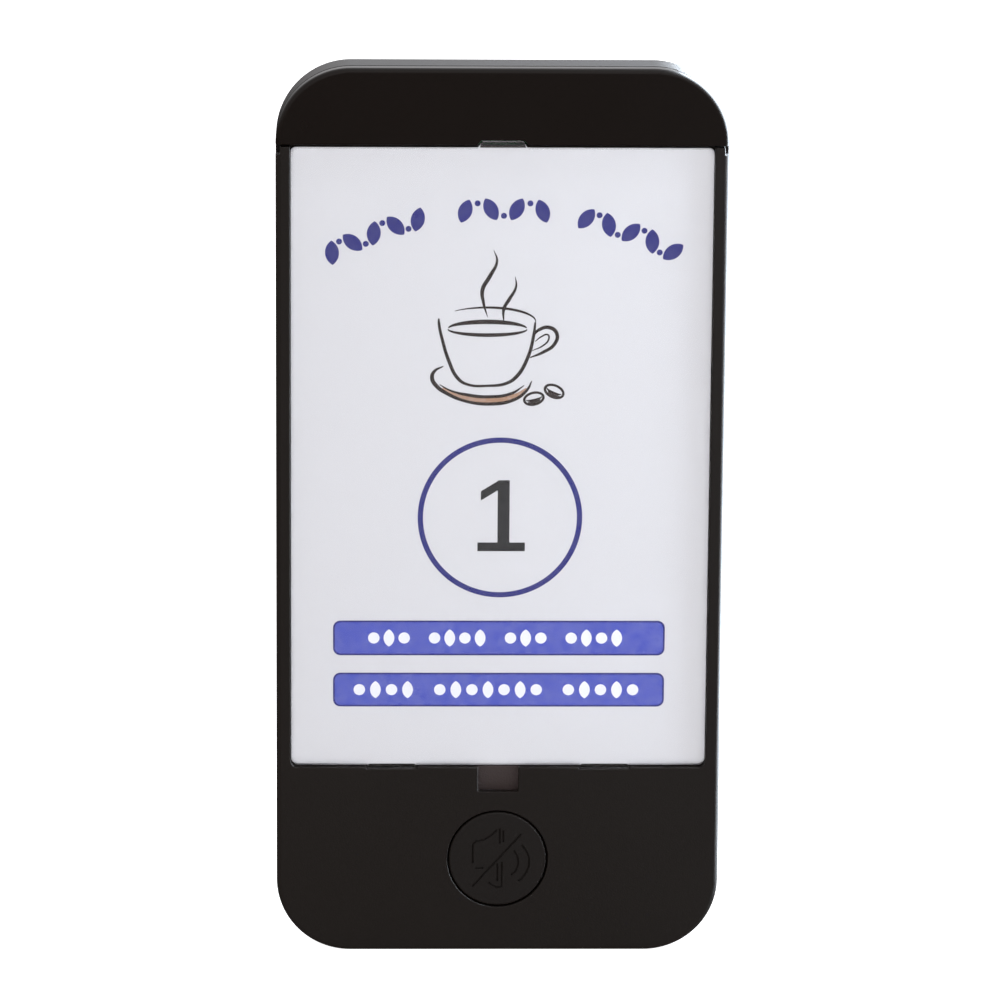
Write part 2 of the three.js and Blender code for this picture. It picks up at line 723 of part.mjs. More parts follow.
class HelixCurve extends THREE.Curve {
  getPoint(t) {
    const angle = 2 * Math.PI * ANTENNA_TURNS * t;
    const y = boardFrontY - ANTENNA_GAP - ANTENNA_COIL_RADIUS - ANTENNA_WIRE_RADIUS;
    return new THREE.Vector3(
      antennaX + ANTENNA_COIL_RADIUS * Math.cos(angle),
      y + ANTENNA_COIL_RADIUS * Math.sin(angle),
      antennaMiddle + ANTENNA_LENGTH * (t - 0.5)
    );
  }
}

const antennaSteps = ANTENNA_TURNS * ANTENNA_STEPS_PER_TURN;
const antennaCoil = () => wire(new HelixCurve(), ANTENNA_WIRE_RADIUS, antennaSteps, 4);

// ---------------------------------------------------------------- battery

function batteryCell() {
  const shape = roundedRectangle(
    -cellHalf,
    cellHalf,
    CELL_BOTTOM,
    cellTop,
    CELL_CORNER_RADIUS
  );
  return plate(shape, cellFrontY, cellFrontY + CELL_THICKNESS, CELL_EDGE_RADIUS, 2);
}

function batteryStrip() {
  const half = cellHalf - STRIP_MARGIN;
  const middle = cellFrontY + CELL_THICKNESS / 2;
  const front = middle - STRIP_THICKNESS / 2;
  return box(-half, half, front, front + STRIP_THICKNESS, stripBottom, stripTop);
}

function batteryFoam() {
  const half = cellHalf - FOAM_MARGIN;
  return box(
    -half,
    half,
    cellFrontY + CELL_THICKNESS + FOAM_GAP,
    shellInnerY - FOAM_GAP,
    CELL_BOTTOM + FOAM_MARGIN,
    cellTop - FOAM_MARGIN
  );
}

const headerBackY = boardFrontY - SEAT_GAP;
const headerFrontY = headerBackY - HEADER_THICKNESS;
const headerTop = HEADER_BOTTOM + HEADER_HEIGHT;
const plugBottom = HEADER_BOTTOM + HEADER_WALL + PLUG_GAP;
const plugTop = plugBottom + PLUG_LENGTH;
const plugInset = HEADER_WALL + PLUG_GAP;

function batteryHeader() {
  const half = HEADER_WIDTH / 2;
  const body = box(-half, half, headerFrontY, headerBackY, HEADER_BOTTOM, headerTop);
  const socket = box(
    -half + HEADER_WALL,
    half - HEADER_WALL,
    headerFrontY + HEADER_WALL,
    headerBackY - HEADER_WALL,
    HEADER_BOTTOM + HEADER_WALL,
    headerTop + BEYOND
  );
  return cut(body, socket);
}

function batteryPlug() {
  const half = HEADER_WIDTH / 2 - plugInset;
  return box(
    -half,
    half,
    headerFrontY + plugInset,
    headerBackY - plugInset,
    plugBottom,
    plugTop
  );
}

// A lead from the plug up to the battery's strip.
function batteryLead(side) {
  const x = (side * LEAD_SPACING) / 2;
  const spread = side * LEAD_SPREAD;
  const plugY = (headerFrontY + headerBackY) / 2;
  const stripY = cellFrontY + CELL_THICKNESS / 2;
  const low = plugTop + LEAD_GAP;
  const high = stripBottom - LEAD_GAP;
  const path = new THREE.CatmullRomCurve3([
    new THREE.Vector3(x, plugY, low),
    new THREE.Vector3(x + spread * 0.2, plugY, low + (high - low) * 0.3),
    new THREE.Vector3(x + spread * 0.8, (plugY + stripY) / 2, low + (high - low) * 0.7),
    new THREE.Vector3(x + spread, stripY, high),
  ]);
  return wire(path, LEAD_RADIUS, LEAD_STEPS, LEAD_SIDES);
}

// ---------------------------------------------------------------- vibration motor

const shaftRight = WIDTH / 2 - SIDE_WALL - MOTOR_SIDE_GAP;
const motorRight = shaftRight - SHAFT_LENGTH;
const motorLeft = motorRight - MOTOR_LENGTH;
const motorY = shellInnerY - BOOT_SEAT_GAP - bootHalf;

function motorCan() {
  const can = barX(motorY, MOTOR_HEIGHT, MOTOR_RADIUS, motorLeft, motorRight);
  const bore = SHAFT_RADIUS + SHAFT_GAP;
  const floor = motorRight - SHAFT_SEAT;
  return cut(can, barX(motorY, MOTOR_HEIGHT, bore, floor, motorRight + BEYOND, HOLE_SIDES));
}

function motorBoot() {
  const block = box(
    motorLeft + BOOT_MARGIN,
    motorRight - BOOT_MARGIN,
    motorY - bootHalf,
    motorY + bootHalf,
    MOTOR_HEIGHT - bootHalf,
    MOTOR_HEIGHT + bootHalf
  );
  const bore = MOTOR_RADIUS + BOOT_GAP;
  return cut(block, barX(motorY, MOTOR_HEIGHT, bore, motorLeft, motorRight));
}

const weightLeft = motorRight + WEIGHT_GAP;

const motorShaft = () =>
  barX(
    motorY,
    MOTOR_HEIGHT,
    SHAFT_RADIUS,
    motorRight - SHAFT_SEAT + SHAFT_GAP,
    shaftRight,
    HOLE_SIDES
  );

// A half disc with a hub, heavy side down, pressed on the shaft.
function eccentricWeight() {
  const right = weightLeft + WEIGHT_LENGTH;
  const disc = barX(motorY, MOTOR_HEIGHT, WEIGHT_RADIUS, weightLeft, right);
  const lowerHalf = disc.intersect(between(0, MOTOR_HEIGHT));
  const hub = barX(motorY, MOTOR_HEIGHT, SHAFT_RADIUS + HUB_WALL, weightLeft, right);
  const boreRadius = SHAFT_RADIUS + PRESS_GAP;
  const from = weightLeft - BEYOND;
  const bore = barX(motorY, MOTOR_HEIGHT, boreRadius, from, right + BEYOND, HOLE_SIDES);
  return cut(join(lowerHalf, hub), bore);
}

// A lead from the motor's left end to a pad on the board.
function motorLead(side) {
  const padY = boardFrontY - LEAD_RADIUS - SEAT_GAP;
  const y = Math.min(motorY - side * TERMINAL_OFFSET, padY);
  const z = MOTOR_HEIGHT + side * TERMINAL_OFFSET;
  const x = motorLeft - LEAD_GAP;
  const run = MOTOR_LEAD_RUN;
  const spread = side * MOTOR_LEAD_SPREAD;
  const path = new THREE.CatmullRomCurve3([
    new THREE.Vector3(x, y, z),
    new THREE.Vector3(x - 0.3 * run, (y + padY) / 2, z + 0.3 * spread),
    new THREE.Vector3(x - 0.7 * run, padY, z + 0.8 * spread),
    new THREE.Vector3(x - run, padY, z + spread),
  ]);
  return wire(path, MOTOR_LEAD_RADIUS, LEAD_STEPS, LEAD_SIDES);
}

// ---------------------------------------------------------------- lamp and contacts

const contactY = boardFrontY - CONTACT_BOARD_OFFSET;
const ledHeight = HEIGHT - LED_FROM_TOP;
const guideHalf = caseScrewX - GUIDE_SCREW_ROOM;
const ledSpacing = (2 * (guideHalf - LED_MARGIN) - LED_WIDTH) / (LED_COUNT - 1);

function led(index) {
  const x = (index - (LED_COUNT - 1) / 2) * ledSpacing;
  const back = boardFrontY - SEAT_GAP;
  const body = box(
    x - LED_WIDTH / 2,
    x + LED_WIDTH / 2,
    back - LED_THICKNESS,
    back,
    ledHeight - LED_HEIGHT / 2,
    ledHeight + LED_HEIGHT / 2
  );
  const front = back - LED_THICKNESS;
  const lensFloor = front + LED_LENS_DEPTH;
  return cut(body, barY(x, ledHeight, LED_LENS_RADIUS, front - BEYOND, lensFloor, HOLE_SIDES));
}

function lightGuide() {
  const shape = roundedRectangle(
    -guideHalf,
    guideHalf,
    ledHeight - GUIDE_HEIGHT / 2,
    ledHeight + GUIDE_HEIGHT / 2,
    GUIDE_CORNER_RADIUS
  );
  const front = plateBackY + GUIDE_GAP;
  return plate(shape, front, front + GUIDE_THICKNESS, 0, 2);
}

// A bent strip: a pad in the bottom edge, and a leg up in front of the board.
function chargeContact(side) {
  const middle = side * CONTACT_X;
  const pad = box(
    middle - CONTACT_WIDTH / 2,
    middle + CONTACT_WIDTH / 2,
    contactY - CONTACT_DEPTH / 2,
    contactY + CONTACT_DEPTH / 2,
    CONTACT_RECESS,
    CONTACT_RECESS + CONTACT_SHEET
  );
  const legBack = boardFrontY - SEAT_GAP;
  const leg = box(
    middle - CONTACT_LEG_WIDTH / 2,
    middle + CONTACT_LEG_WIDTH / 2,
    legBack - CONTACT_SHEET,
    legBack,
    CONTACT_RECESS,
    CONTACT_RECESS + CONTACT_LEG_LENGTH
  );
  return join(pad, leg);
}

// ---------------------------------------------------------------- assembly

const pager = new THREE.Group();

function place(group, name, solid, look) {
  const mesh = solid.getMesh();
  const geometry = new THREE.BufferGeometry();
  geometry.setAttribute("position", new THREE.BufferAttribute(mesh.vertProperties, 3));
  geometry.setIndex(new THREE.BufferAttribute(mesh.triVerts, 1));
  geometry.computeVertexNormals();
  const made = new THREE.Mesh(geometry, look);
  made.name = name;
  group.add(made);
}

const housing = new THREE.Group();
place(housing, "front_frame", frontFrame(), matteBlack);
place(housing, "top_cap", topCap(), capBlack);
place(housing, "rear_shell", rearShell(), matteBlack);
place(housing, "card_insert", cardInsert(), cardWhite);
pager.add(housing);

const cover = new THREE.Group();
place(cover, "clear_cover", clearCover(), clearPlastic);
pager.add(cover);

const key = new THREE.Group();
place(key, "mute_button", muteButton(), matteBlack);
place(key, "tact_switch_plunger", switchPlunger(), rubberBlack);
pager.add(key);

const screws = new THREE.Group();
let screwNumber = 0;
for (const z of caseScrewHeights) {
  for (const side of sides) {
    screwNumber += 1;
    place(screws, `case_screw_${screwNumber}`, caseScrew(side * caseScrewX, z), steel);
  }
}
screwNumber = 0;
for (const z of boardScrewHeights) {
  for (const side of sides) {
    screwNumber += 1;
    place(screws, `board_screw_${screwNumber}`, boardScrew(side * boardScrewX, z), steel);
  }
}
pager.add(screws);

const electronics = new THREE.Group();
place(electronics, "main_pcb", mainBoard(), boardGreen);
place(electronics, "tact_switch_body", switchBody(), chipBlack);
for (const block of rearBlocks) {
  place(electronics, block.name, rearBlock(block), block.look);
}
place(electronics, "buzzer", buzzer(), chipBlack);
place(electronics, "antenna_coil", antennaCoil(), gold);
for (let i = 0; i < LED_COUNT; i += 1) {
  place(electronics, `led_${i + 1}`, led(i), lampWhite);
}
place(electronics, "light_guide", lightGuide(), lampWhite);
place(electronics, "charge_contact_left", chargeContact(-1), gold);
place(electronics, "charge_contact_right", chargeContact(1), gold);
pager.add(electronics);

const battery = new THREE.Group();
place(battery, "battery_cell", batteryCell(), foilSilver);
place(battery, "battery_strip", batteryStrip(), boardGreen);
place(battery, "battery_foam", batteryFoam(), foamBlack);
place(battery, "battery_header", batteryHeader(), switchWhite);
place(battery, "battery_plug", batteryPlug(), switchWhite);
place(battery, "battery_lead_red", batteryLead(1), leadRed);
place(battery, "battery_lead_black", batteryLead(-1), leadBlack);
pager.add(battery);

const motor = new THREE.Group();
place(motor, "motor_can", motorCan(), steel);
place(motor, "motor_boot", motorBoot(), rubberBlack);
place(motor, "motor_shaft", motorShaft(), steel);
place(motor, "eccentric_weight", eccentricWeight(), tungsten);
place(motor, "motor_lead_red", motorLead(1), leadRed);
place(motor, "motor_lead_black", motorLead(-1), leadBlack);
pager.add(motor);

export default pager;
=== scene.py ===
"""Guest pager with a card window: the visible pieces, their finishes and a small studio.

Sizes are in metres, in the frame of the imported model: X across the width, Y from the front face to
the back, Z up the length, with the origin in the middle of the bottom edge.
"""

import math

import bmesh
import bpy
from mathutils import Matrix, Vector


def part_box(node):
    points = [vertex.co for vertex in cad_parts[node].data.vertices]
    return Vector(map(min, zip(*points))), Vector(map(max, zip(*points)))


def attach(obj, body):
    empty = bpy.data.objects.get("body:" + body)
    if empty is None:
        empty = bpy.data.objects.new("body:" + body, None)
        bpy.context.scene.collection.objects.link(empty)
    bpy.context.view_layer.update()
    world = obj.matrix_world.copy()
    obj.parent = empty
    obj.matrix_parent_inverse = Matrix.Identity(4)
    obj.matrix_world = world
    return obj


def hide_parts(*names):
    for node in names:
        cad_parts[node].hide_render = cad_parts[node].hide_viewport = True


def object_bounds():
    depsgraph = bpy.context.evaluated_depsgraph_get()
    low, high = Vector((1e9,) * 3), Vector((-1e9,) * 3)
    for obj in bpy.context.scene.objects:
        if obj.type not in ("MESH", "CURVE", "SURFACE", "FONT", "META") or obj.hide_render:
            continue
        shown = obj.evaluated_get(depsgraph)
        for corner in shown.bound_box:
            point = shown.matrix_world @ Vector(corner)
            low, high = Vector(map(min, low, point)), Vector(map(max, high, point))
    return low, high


bl_info = {
    "name": "Guest pager",
    "version": (1, 0, 0),
    "blender": (4, 5, 0),
    "location": "3D View > Sidebar > Pager",
    "description": "Builds a guest pager with a printed card, a clear cover and a mute key",
    "category": "Object",
}

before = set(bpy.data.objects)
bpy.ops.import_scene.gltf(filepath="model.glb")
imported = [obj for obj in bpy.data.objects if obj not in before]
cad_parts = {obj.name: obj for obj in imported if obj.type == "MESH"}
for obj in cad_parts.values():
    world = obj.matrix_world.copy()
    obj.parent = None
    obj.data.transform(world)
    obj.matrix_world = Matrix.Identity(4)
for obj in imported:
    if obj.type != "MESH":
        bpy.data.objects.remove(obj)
CAD_LOW, CAD_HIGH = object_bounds()

MM = 0.001
FRAME_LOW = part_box("front_frame")[0]
CAP_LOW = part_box("top_cap")[0]
SHELL_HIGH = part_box("rear_shell")[1]
COVER_LOW, COVER_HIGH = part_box("clear_cover")
CARD_LOW, CARD_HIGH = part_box("card_insert")
KEY_LOW, KEY_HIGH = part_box("mute_button")
KEY_MIDDLE = (KEY_LOW.z + KEY_HIGH.z) / 2
BUZZER_MIDDLE = sum(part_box("buzzer"), Vector()) / 2
SIDES = (-1, 1)
FAR = 1.0  # well outside the pager


def distance(name, default, description):
    """A length that a user may change."""
    return bpy.props.FloatProperty(
        name=name, description=description, default=default, min=0, precision=5,
        subtype="DISTANCE", unit="LENGTH",
    )


def colour(name, default, description):
    """A colour that a user may change, in linear light."""
    return bpy.props.FloatVectorProperty(
        name=name, description=description, default=default, size=3, min=0, max=1, subtype="COLOR",
    )


class PagerSizes(bpy.types.PropertyGroup):
    """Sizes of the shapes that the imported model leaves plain."""

    corner_radius: distance("Corner radius", 10 * MM, "Radius of the housing's four corners")
    front_edge: distance("Front edge radius", 0.7 * MM, "Rounding of the housing's front edge")
    rear_edge: distance("Rear edge radius", 2.6 * MM, "Rounding of the housing's rear edge")
    front_plate: distance("Front plate", 2 * MM, "Thickness of the front frame and the lamp cap")
    parting_gap: distance("Parting gap", 0.35 * MM, "Line between the front pieces and the rear shell")
    side_wall: distance("Side wall", 1.3 * MM, "Wall of the rear shell at its sides")
    rear_wall: distance("Rear wall", 1.4 * MM, "Wall of the rear shell at its back")
    lip_gap: distance("Lip gap", 0.3 * MM, "From the rear shell's wall to the lip inside it")
    lip_wall: distance("Lip wall", 1 * MM, "Thickness of the locating lip")
    lip_depth: distance("Lip depth", 1.2 * MM, "How far the lip reaches into the rear shell")
    rail: distance("Rail width", 1.9 * MM, "Width of the rails beside the window")
    chin: distance("Chin height", 25.95 * MM, "Height of the chin below the window")
    window_corner: distance("Window corner", 1 * MM, "Corner radius of the window, cover and card")
    tray_floor: distance("Tray floor", 0.95 * MM, "Thickness of the floor under the card")
    mould_edge: distance("Mould edge", 0.11 * MM, "Softening of the moulded pieces' sharp edges")
    cover_edge: distance("Cover edge", 0.16 * MM, "Chamfer round the clear cover")
    side_notch_height: distance("Side notch height", 1 * MM, "Height of the notch on top of each rail")
    side_notch_depth: distance("Side notch depth", 0.6 * MM, "Depth of the notch on top of each rail")
    top_tab: distance("Top tab", 7.4 * MM, "Width of the cover's top tab at its foot")
    top_tab_tip: distance("Top tab tip", 5.3 * MM, "Width of the cover's top tab at its tip")
    top_tab_height: distance("Top tab height", 1 * MM, "Height of the cover's top tab")
    lower_tab: distance("Lower tab", 6.5 * MM, "Width of each lower tab of the cover")
    lower_tab_height: distance("Lower tab height", 0.4 * MM, "Height of each lower tab of the cover")
    lower_tab_offset: distance("Lower tab offset", 14.4 * MM, "From the middle to each lower tab")
    tab_gap: distance("Tab gap", 0.2 * MM, "Gap round the cover's tabs")
    pry_width: distance("Pry notch width", 5.5 * MM, "Width of the pry notch in the chin")
    pry_height: distance("Pry notch height", 3.4 * MM, "Height of the pry notch in the chin")
    pry_depth: distance("Pry notch depth", 1.2 * MM, "Depth of the pry notch in the chin")
    key_radius: distance("Key radius", 6.6 * MM, "Radius of the mute key's face")
    key_groove: distance("Key groove", 0.25 * MM, "Gap round the mute key")
    key_edge: distance("Key edge radius", 0.25 * MM, "Rounding of the mute key's rim")
    engraving: distance("Engraving depth", 0.27 * MM, "Depth of the sign on the mute key")
    engraved_line: distance("Engraved line", 0.34 * MM, "Width of the lines of the sign on the mute key")
    card_reach: distance("Card reach", 0.37 * MM, "How far the card reaches towards the window's edge")
    ink: distance("Ink thickness", 0.02 * MM, "How far the print stands off the card")
    screw_side: distance("Screw side", 7.5 * MM, "From the sides to the case screws' axes")
    screw_end: distance("Screw end", 7 * MM, "From the top and the bottom to the case screws' axes")
    screw_well: distance("Screw well radius", 2.3 * MM, "Radius of the wells that the case screws sit in")
    sound_hole: distance("Sound hole radius", 0.6 * MM, "Radius of the holes over the buzzer")
    sound_ring: distance("Sound ring radius", 2.4 * MM, "Radius of the ring of sound holes")


class PagerColours(bpy.types.PropertyGroup):
    """Colours of the finishes."""

    housing: colour("Housing", (0.0126, 0.0089, 0.0069), "Fine matte moulding of frame and shell")
    cap: colour("Lamp cap", (0.0080, 0.0050, 0.0037), "Satin smoked plastic of the lamp cap")
    key: colour("Mute key", (0.0116, 0.0082, 0.0065), "Matte moulding of the key")
    card: colour("Card", (0.63, 0.622, 0.645), "Coated card")
    navy: colour("Navy ink", (0.016, 0.016, 0.16), "Ink of the ring and the ornaments")
    bar: colour("Bar ink", (0.054, 0.073, 0.42), "Ink of the two bars")
    coffee: colour("Coffee ink", (0.014, 0.006, 0.004), "Ink of the cup drawing")
    numeral: colour("Numeral ink", (0.010, 0.009, 0.010), "Ink of the numeral")
    paper: colour("Reversed print", (0.80, 0.80, 0.85), "The light marks on the bars")
    board: colour("Board", (0.012, 0.085, 0.030), "Solder mask of the circuit board")


def sizes():
    return bpy.context.scene.pager_sizes


def colours():
    return bpy.context.scene.pager_colours


# ---------------------------------------------------------------- modelling steps


def deselect():
    """Leaves edit mode and selects nothing."""
    if bpy.context.mode != "OBJECT":
        bpy.ops.object.mode_set(mode="OBJECT")
    bpy.ops.object.select_all(action="DESELECT")


def activate(made):
    """Selects one object alone."""
    deselect()
    made.select_set(True)
    bpy.context.view_layer.objects.active = made
    return made


def settle(name=None):
    """Puts the active object's place, turn and scale into its mesh, and names it."""
    bpy.ops.object.transform_apply(location=True, rotation=True, scale=True)
    made = bpy.context.active_object
    if name:
        made.name = name
        made.data.name = name
    return made


def block(low, high, name="block"):
    """A box between two corners."""
    deselect()
    low, high = Vector(low), Vector(high)
    bpy.ops.mesh.primitive_cube_add(size=1, location=(low + high) / 2)
    bpy.context.active_object.scale = high - low
    return settle(name)


def bar(x, z, radius, y0, y1, sides=48, name="bar"):
    """A round bar along the depth, from y0 to y1."""
    deselect()
    bpy.ops.mesh.primitive_cylinder_add(
        vertices=sides, radius=radius, depth=y1 - y0,
        location=(x, (y0 + y1) / 2, z), rotation=(math.pi / 2, 0, 0),
    )
    return settle(name)


def pick(made, mode, wanted):
    """Enters edit mode and selects the elements of one kind that pass a test."""
    activate(made)
    bpy.ops.object.mode_set(mode="EDIT")
    bpy.ops.mesh.select_mode(type=mode)
    bpy.ops.mesh.select_all(action="DESELECT")
    shape = bmesh.from_edit_mesh(made.data)
    elements = {"VERT": shape.verts, "EDGE": shape.edges, "FACE": shape.faces}[mode]
    for element in elements:
        element.select_set(bool(wanted(element)))
    bmesh.update_edit_mesh(made.data)


def bevel_picked(width, segments):
    """Bevels the edges that are picked, and leaves edit mode."""
    bpy.ops.mesh.bevel(
        offset=width, offset_type="OFFSET", segments=segments, affect="EDGES", clamp_overlap=False,
    )
    bpy.ops.object.mode_set(mode="OBJECT")


def same(a, b, near=1e-6):
    """Whether two lengths agree, to a thousandth of a millimetre unless told."""
    return abs(a - b) < near


def round_depth_edges(made, radius, segments):
    """Rounds the edges that run along the depth."""
    pick(made, "EDGE", lambda e: same(e.verts[0].co.x, e.verts[1].co.x)
         and same(e.verts[0].co.z, e.verts[1].co.z))
    bevel_picked(radius, segments)


def round_rim(made, y, radius, segments):
    """Rounds the edges that lie in the plane at one depth."""
    pick(made, "EDGE", lambda e: all(same(v.co.y, y) for v in e.verts))
    bevel_picked(radius, segments)


def soften(made, width, segments=2, angle=50):
    """Bevels the edges that turn by an angle or more, in degrees."""
    limit = math.radians(angle)
    pick(made, "EDGE", lambda e: len(e.link_faces) == 2 and e.calc_face_angle(0) >= limit)
    bevel_picked(width, segments)


def modify(made, kind, **settings):
    """Adds a modifier with its settings, and applies it."""
    activate(made)
    bpy.ops.object.modifier_add(type=kind)
    modifier = made.modifiers[-1]
    for key, value in settings.items():
        setattr(modifier, key, value)
    bpy.ops.object.modifier_apply(modifier=modifier.name)
    return made


def combine(made, others, operation):
    """Works a shape with others, one after the other, which are used up."""
    for other in others:
        modify(made, "BOOLEAN", operation=operation, solver="EXACT", object=other)
        bpy.data.objects.remove(other)
    return made


def cut(made, *others):
    """Takes the others away from a shape."""
    return combine(made, others, "DIFFERENCE")


def join(made, *others):
    """Adds the others to a shape."""
    return combine(made, others, "UNION")


def meet(made, *others):
    """Keeps what a shape shares with the others."""
    return combine(made, others, "INTERSECT")


def clean(made):
    """Merges doubled points and dissolves needless edges of flat faces."""
    pick(made, "VERT", lambda v: True)
    bpy.ops.mesh.remove_doubles(threshold=1e-7)
    bpy.ops.mesh.dissolve_limited(angle_limit=math.radians(0.5))
    bpy.ops.object.mode_set(mode="OBJECT")


def smooth(made, angle=40):
    """Shades smooth over edges below an angle, in degrees, and keeps large faces flat."""
    activate(made)
    bpy.ops.object.shade_smooth_by_angle(angle=math.radians(angle))
    return modify(made, "WEIGHTED_NORMAL", keep_sharp=True)


def merge(pieces, name):
    """Joins several objects into one piece."""
    deselect()
    for piece in pieces:
        piece.select_set(True)
    bpy.context.view_layer.objects.active = pieces[0]
    bpy.ops.object.join()
    return settle(name)


def copy(made, offset, name):
    """A copy with its own mesh, moved by an offset that goes into the mesh."""
    activate(made)
    bpy.ops.object.duplicate(linked=False)
    bpy.ops.transform.translate(value=offset)
    return settle(name)


def finish_piece(made, look, body, replaced=()):
    """Gives a piece its finish and its body, and hides the model's nodes that it stands for."""
    made.data.materials.clear()
    made.data.materials.append(finish_named(look))
    for polygon in made.data.polygons:
        polygon.material_index = 0
    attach(made, body)
    if replaced:
        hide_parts(*replaced)
    deselect()


# ---------------------------------------------------------------- node steps


def node(tree, kind, **inputs):
    """A shader node, with values for the inputs named, where spaces are written as underscores."""
    made = tree.nodes.new(kind)
    for key, value in inputs.items():
        put(made, key.replace("_", " "), value)
    return made


def put(made, key, value):
    """Sets one input of a node, or links it to another node's output; colours are opaque."""
    socket = made.inputs[key]
    if isinstance(value, bpy.types.NodeSocket):
        made.id_data.links.new(value, socket)
    elif socket.type == "RGBA":
        socket.default_value = (*value, 1)[:4]
    else:
        socket.default_value = value


def maths(tree, operation, a, b=None, c=None, clamp=False):
    """A sum of up to three values or outputs."""
    made = tree.nodes.new("ShaderNodeMath")
    made.operation = operation
    made.use_clamp = clamp
    for key, value in enumerate((a, b, c)):
        if value is not None:
            put(made, key, value)
    return made.outputs[0]


def swing(tree, value, amount, middle, clamp=False):
    """Moves a value about its middle with a noise, by a given amount."""
    return maths(tree, "MULTIPLY_ADD", maths(tree, "SUBTRACT", value, 0.5), amount, middle, clamp)


def blend_colours(tree, factor, a, b):
    """Goes from one colour to another."""
    made = tree.nodes.new("ShaderNodeMix")
    made.data_type = "RGBA"
    for key, value in ((0, factor), (6, a), (7, b)):
        put(made, key, value)
    return made.outputs[2]


def scale_colour(tree, colour_given, share):
    """Makes a colour darker or lighter."""
    made = tree.nodes.new("ShaderNodeVectorMath")
    made.operation = "SCALE"
    put(made, 0, colour_given)
    put(made, "Scale", share)
    return made.outputs[0]


def steps(tree, value, low, high, to_low=0.0, to_high=1.0):
    """Maps a value from one range to another, held to it."""
    made = tree.nodes.new("ShaderNodeMapRange")
    for key, given in enumerate((value, low, high, to_low, to_high)):
        put(made, key, given)
    return made.outputs[0]


def noise(tree, vector, scale, detail=2.0, rough=0.5):
    """A soft noise, with its scale in turns per metre."""
    return node(
        tree, "ShaderNodeTexNoise", Vector=vector, Scale=scale, Detail=detail, Roughness=rough
    ).outputs[0]


def group(name, inputs, outputs):
    """An empty node group with named sockets, and its input and output nodes."""
    tree = bpy.data.node_groups.new(name, "ShaderNodeTree")
    for label, kind, default in inputs:
        socket = tree.interface.new_socket(name=label, in_out="INPUT", socket_type="NodeSocket" + kind)
        if default is not None:
            socket.default_value = default
    for label, kind in outputs:
        tree.interface.new_socket(name=label, in_out="OUTPUT", socket_type="NodeSocket" + kind)
    return tree, tree.nodes.new("NodeGroupInput"), tree.nodes.new("NodeGroupOutput")


def moulded_grain():
    """Fine grain of a moulded surface: a slow drift of tone, a fine height and an uneven gloss."""
    tree, given, out = group(
        "Moulded grain",
        [("Vector", "Vector", None), ("Colour", "Color", (0.1, 0.1, 0.1, 1)),
         ("Drift", "Float", 0.15), ("Grain size", "Float", 0.0002), ("Roughness", "Float", 0.5),
         ("Gloss drift", "Float", 0.06)],
        [("Colour", "Color"), ("Roughness", "Float"), ("Height", "Float")],
    )
    vector = given.outputs["Vector"]
    scale = maths(tree, "DIVIDE", 1.0, given.outputs["Grain size"])
    slow = noise(tree, vector, 45.0, 3.0)
    fine = noise(tree, vector, scale, 3.0, 0.6)
    pits = node(tree, "ShaderNodeTexVoronoi", Vector=vector, Scale=scale).outputs["Distance"]
    tone = swing(tree, fine, 0.25, swing(tree, slow, given.outputs["Drift"], 1.0))
    gloss = swing(tree, slow, given.outputs["Gloss drift"], given.outputs["Roughness"], clamp=True)
    put(out, "Colour", scale_colour(tree, given.outputs["Colour"], tone))
    put(out, "Roughness", gloss)
    put(out, "Height", maths(tree, "MULTIPLY_ADD", pits, 0.6, fine))


def dust():
    """A few pale specks, as a mask."""
    tree, given, out = group(
        "Dust",
        [("Vector", "Vector", None), ("Spacing", "Float", 0.02), ("Speck size", "Float", 0.012)],
        [("Mask", "Float")],
    )
    scale = maths(tree, "DIVIDE", 1.0, given.outputs["Spacing"])
    cells = node(tree, "ShaderNodeTexVoronoi", Vector=given.outputs["Vector"], Scale=scale)
    near = maths(tree, "LESS_THAN", cells.outputs["Distance"], given.outputs["Speck size"])
    chosen = maths(tree, "GREATER_THAN", maths(tree, "FRACT", cells.outputs["Color"]), 0.45)
    put(out, "Mask", maths(tree, "MULTIPLY", near, chosen))


def print_grain():
    """Ink laid on card: a mottled tone with a fine dot, and an uneven gloss."""
    tree, given, out = group(
        "Print grain",
        [("Vector", "Vector", None), ("Ink", "Color", (0, 0, 0, 1)), ("Thin", "Color", (1, 1, 1, 1)),
         ("Cover", "Float", 0.9)],
        [("Colour", "Color"), ("Roughness", "Float")],
    )
    vector = given.outputs["Vector"]
    slow = noise(tree, vector, 900.0, 3.0, 0.6)
    dots = noise(tree, vector, 5200.0, 2.0, 0.7)
    mixed = maths(tree, "MULTIPLY_ADD", dots, 0.5, maths(tree, "MULTIPLY", slow, 0.5))
    worn = steps(tree, mixed, 0.40, 0.68, 0.0, 1.0)
    share = maths(tree, "MULTIPLY", worn, maths(tree, "SUBTRACT", 1.0, given.outputs["Cover"]))
    put(out, "Colour", blend_colours(tree, share, given.outputs["Ink"], given.outputs["Thin"]))
    put(out, "Roughness", steps(tree, mixed, 0.3, 0.7, 0.42, 0.6))


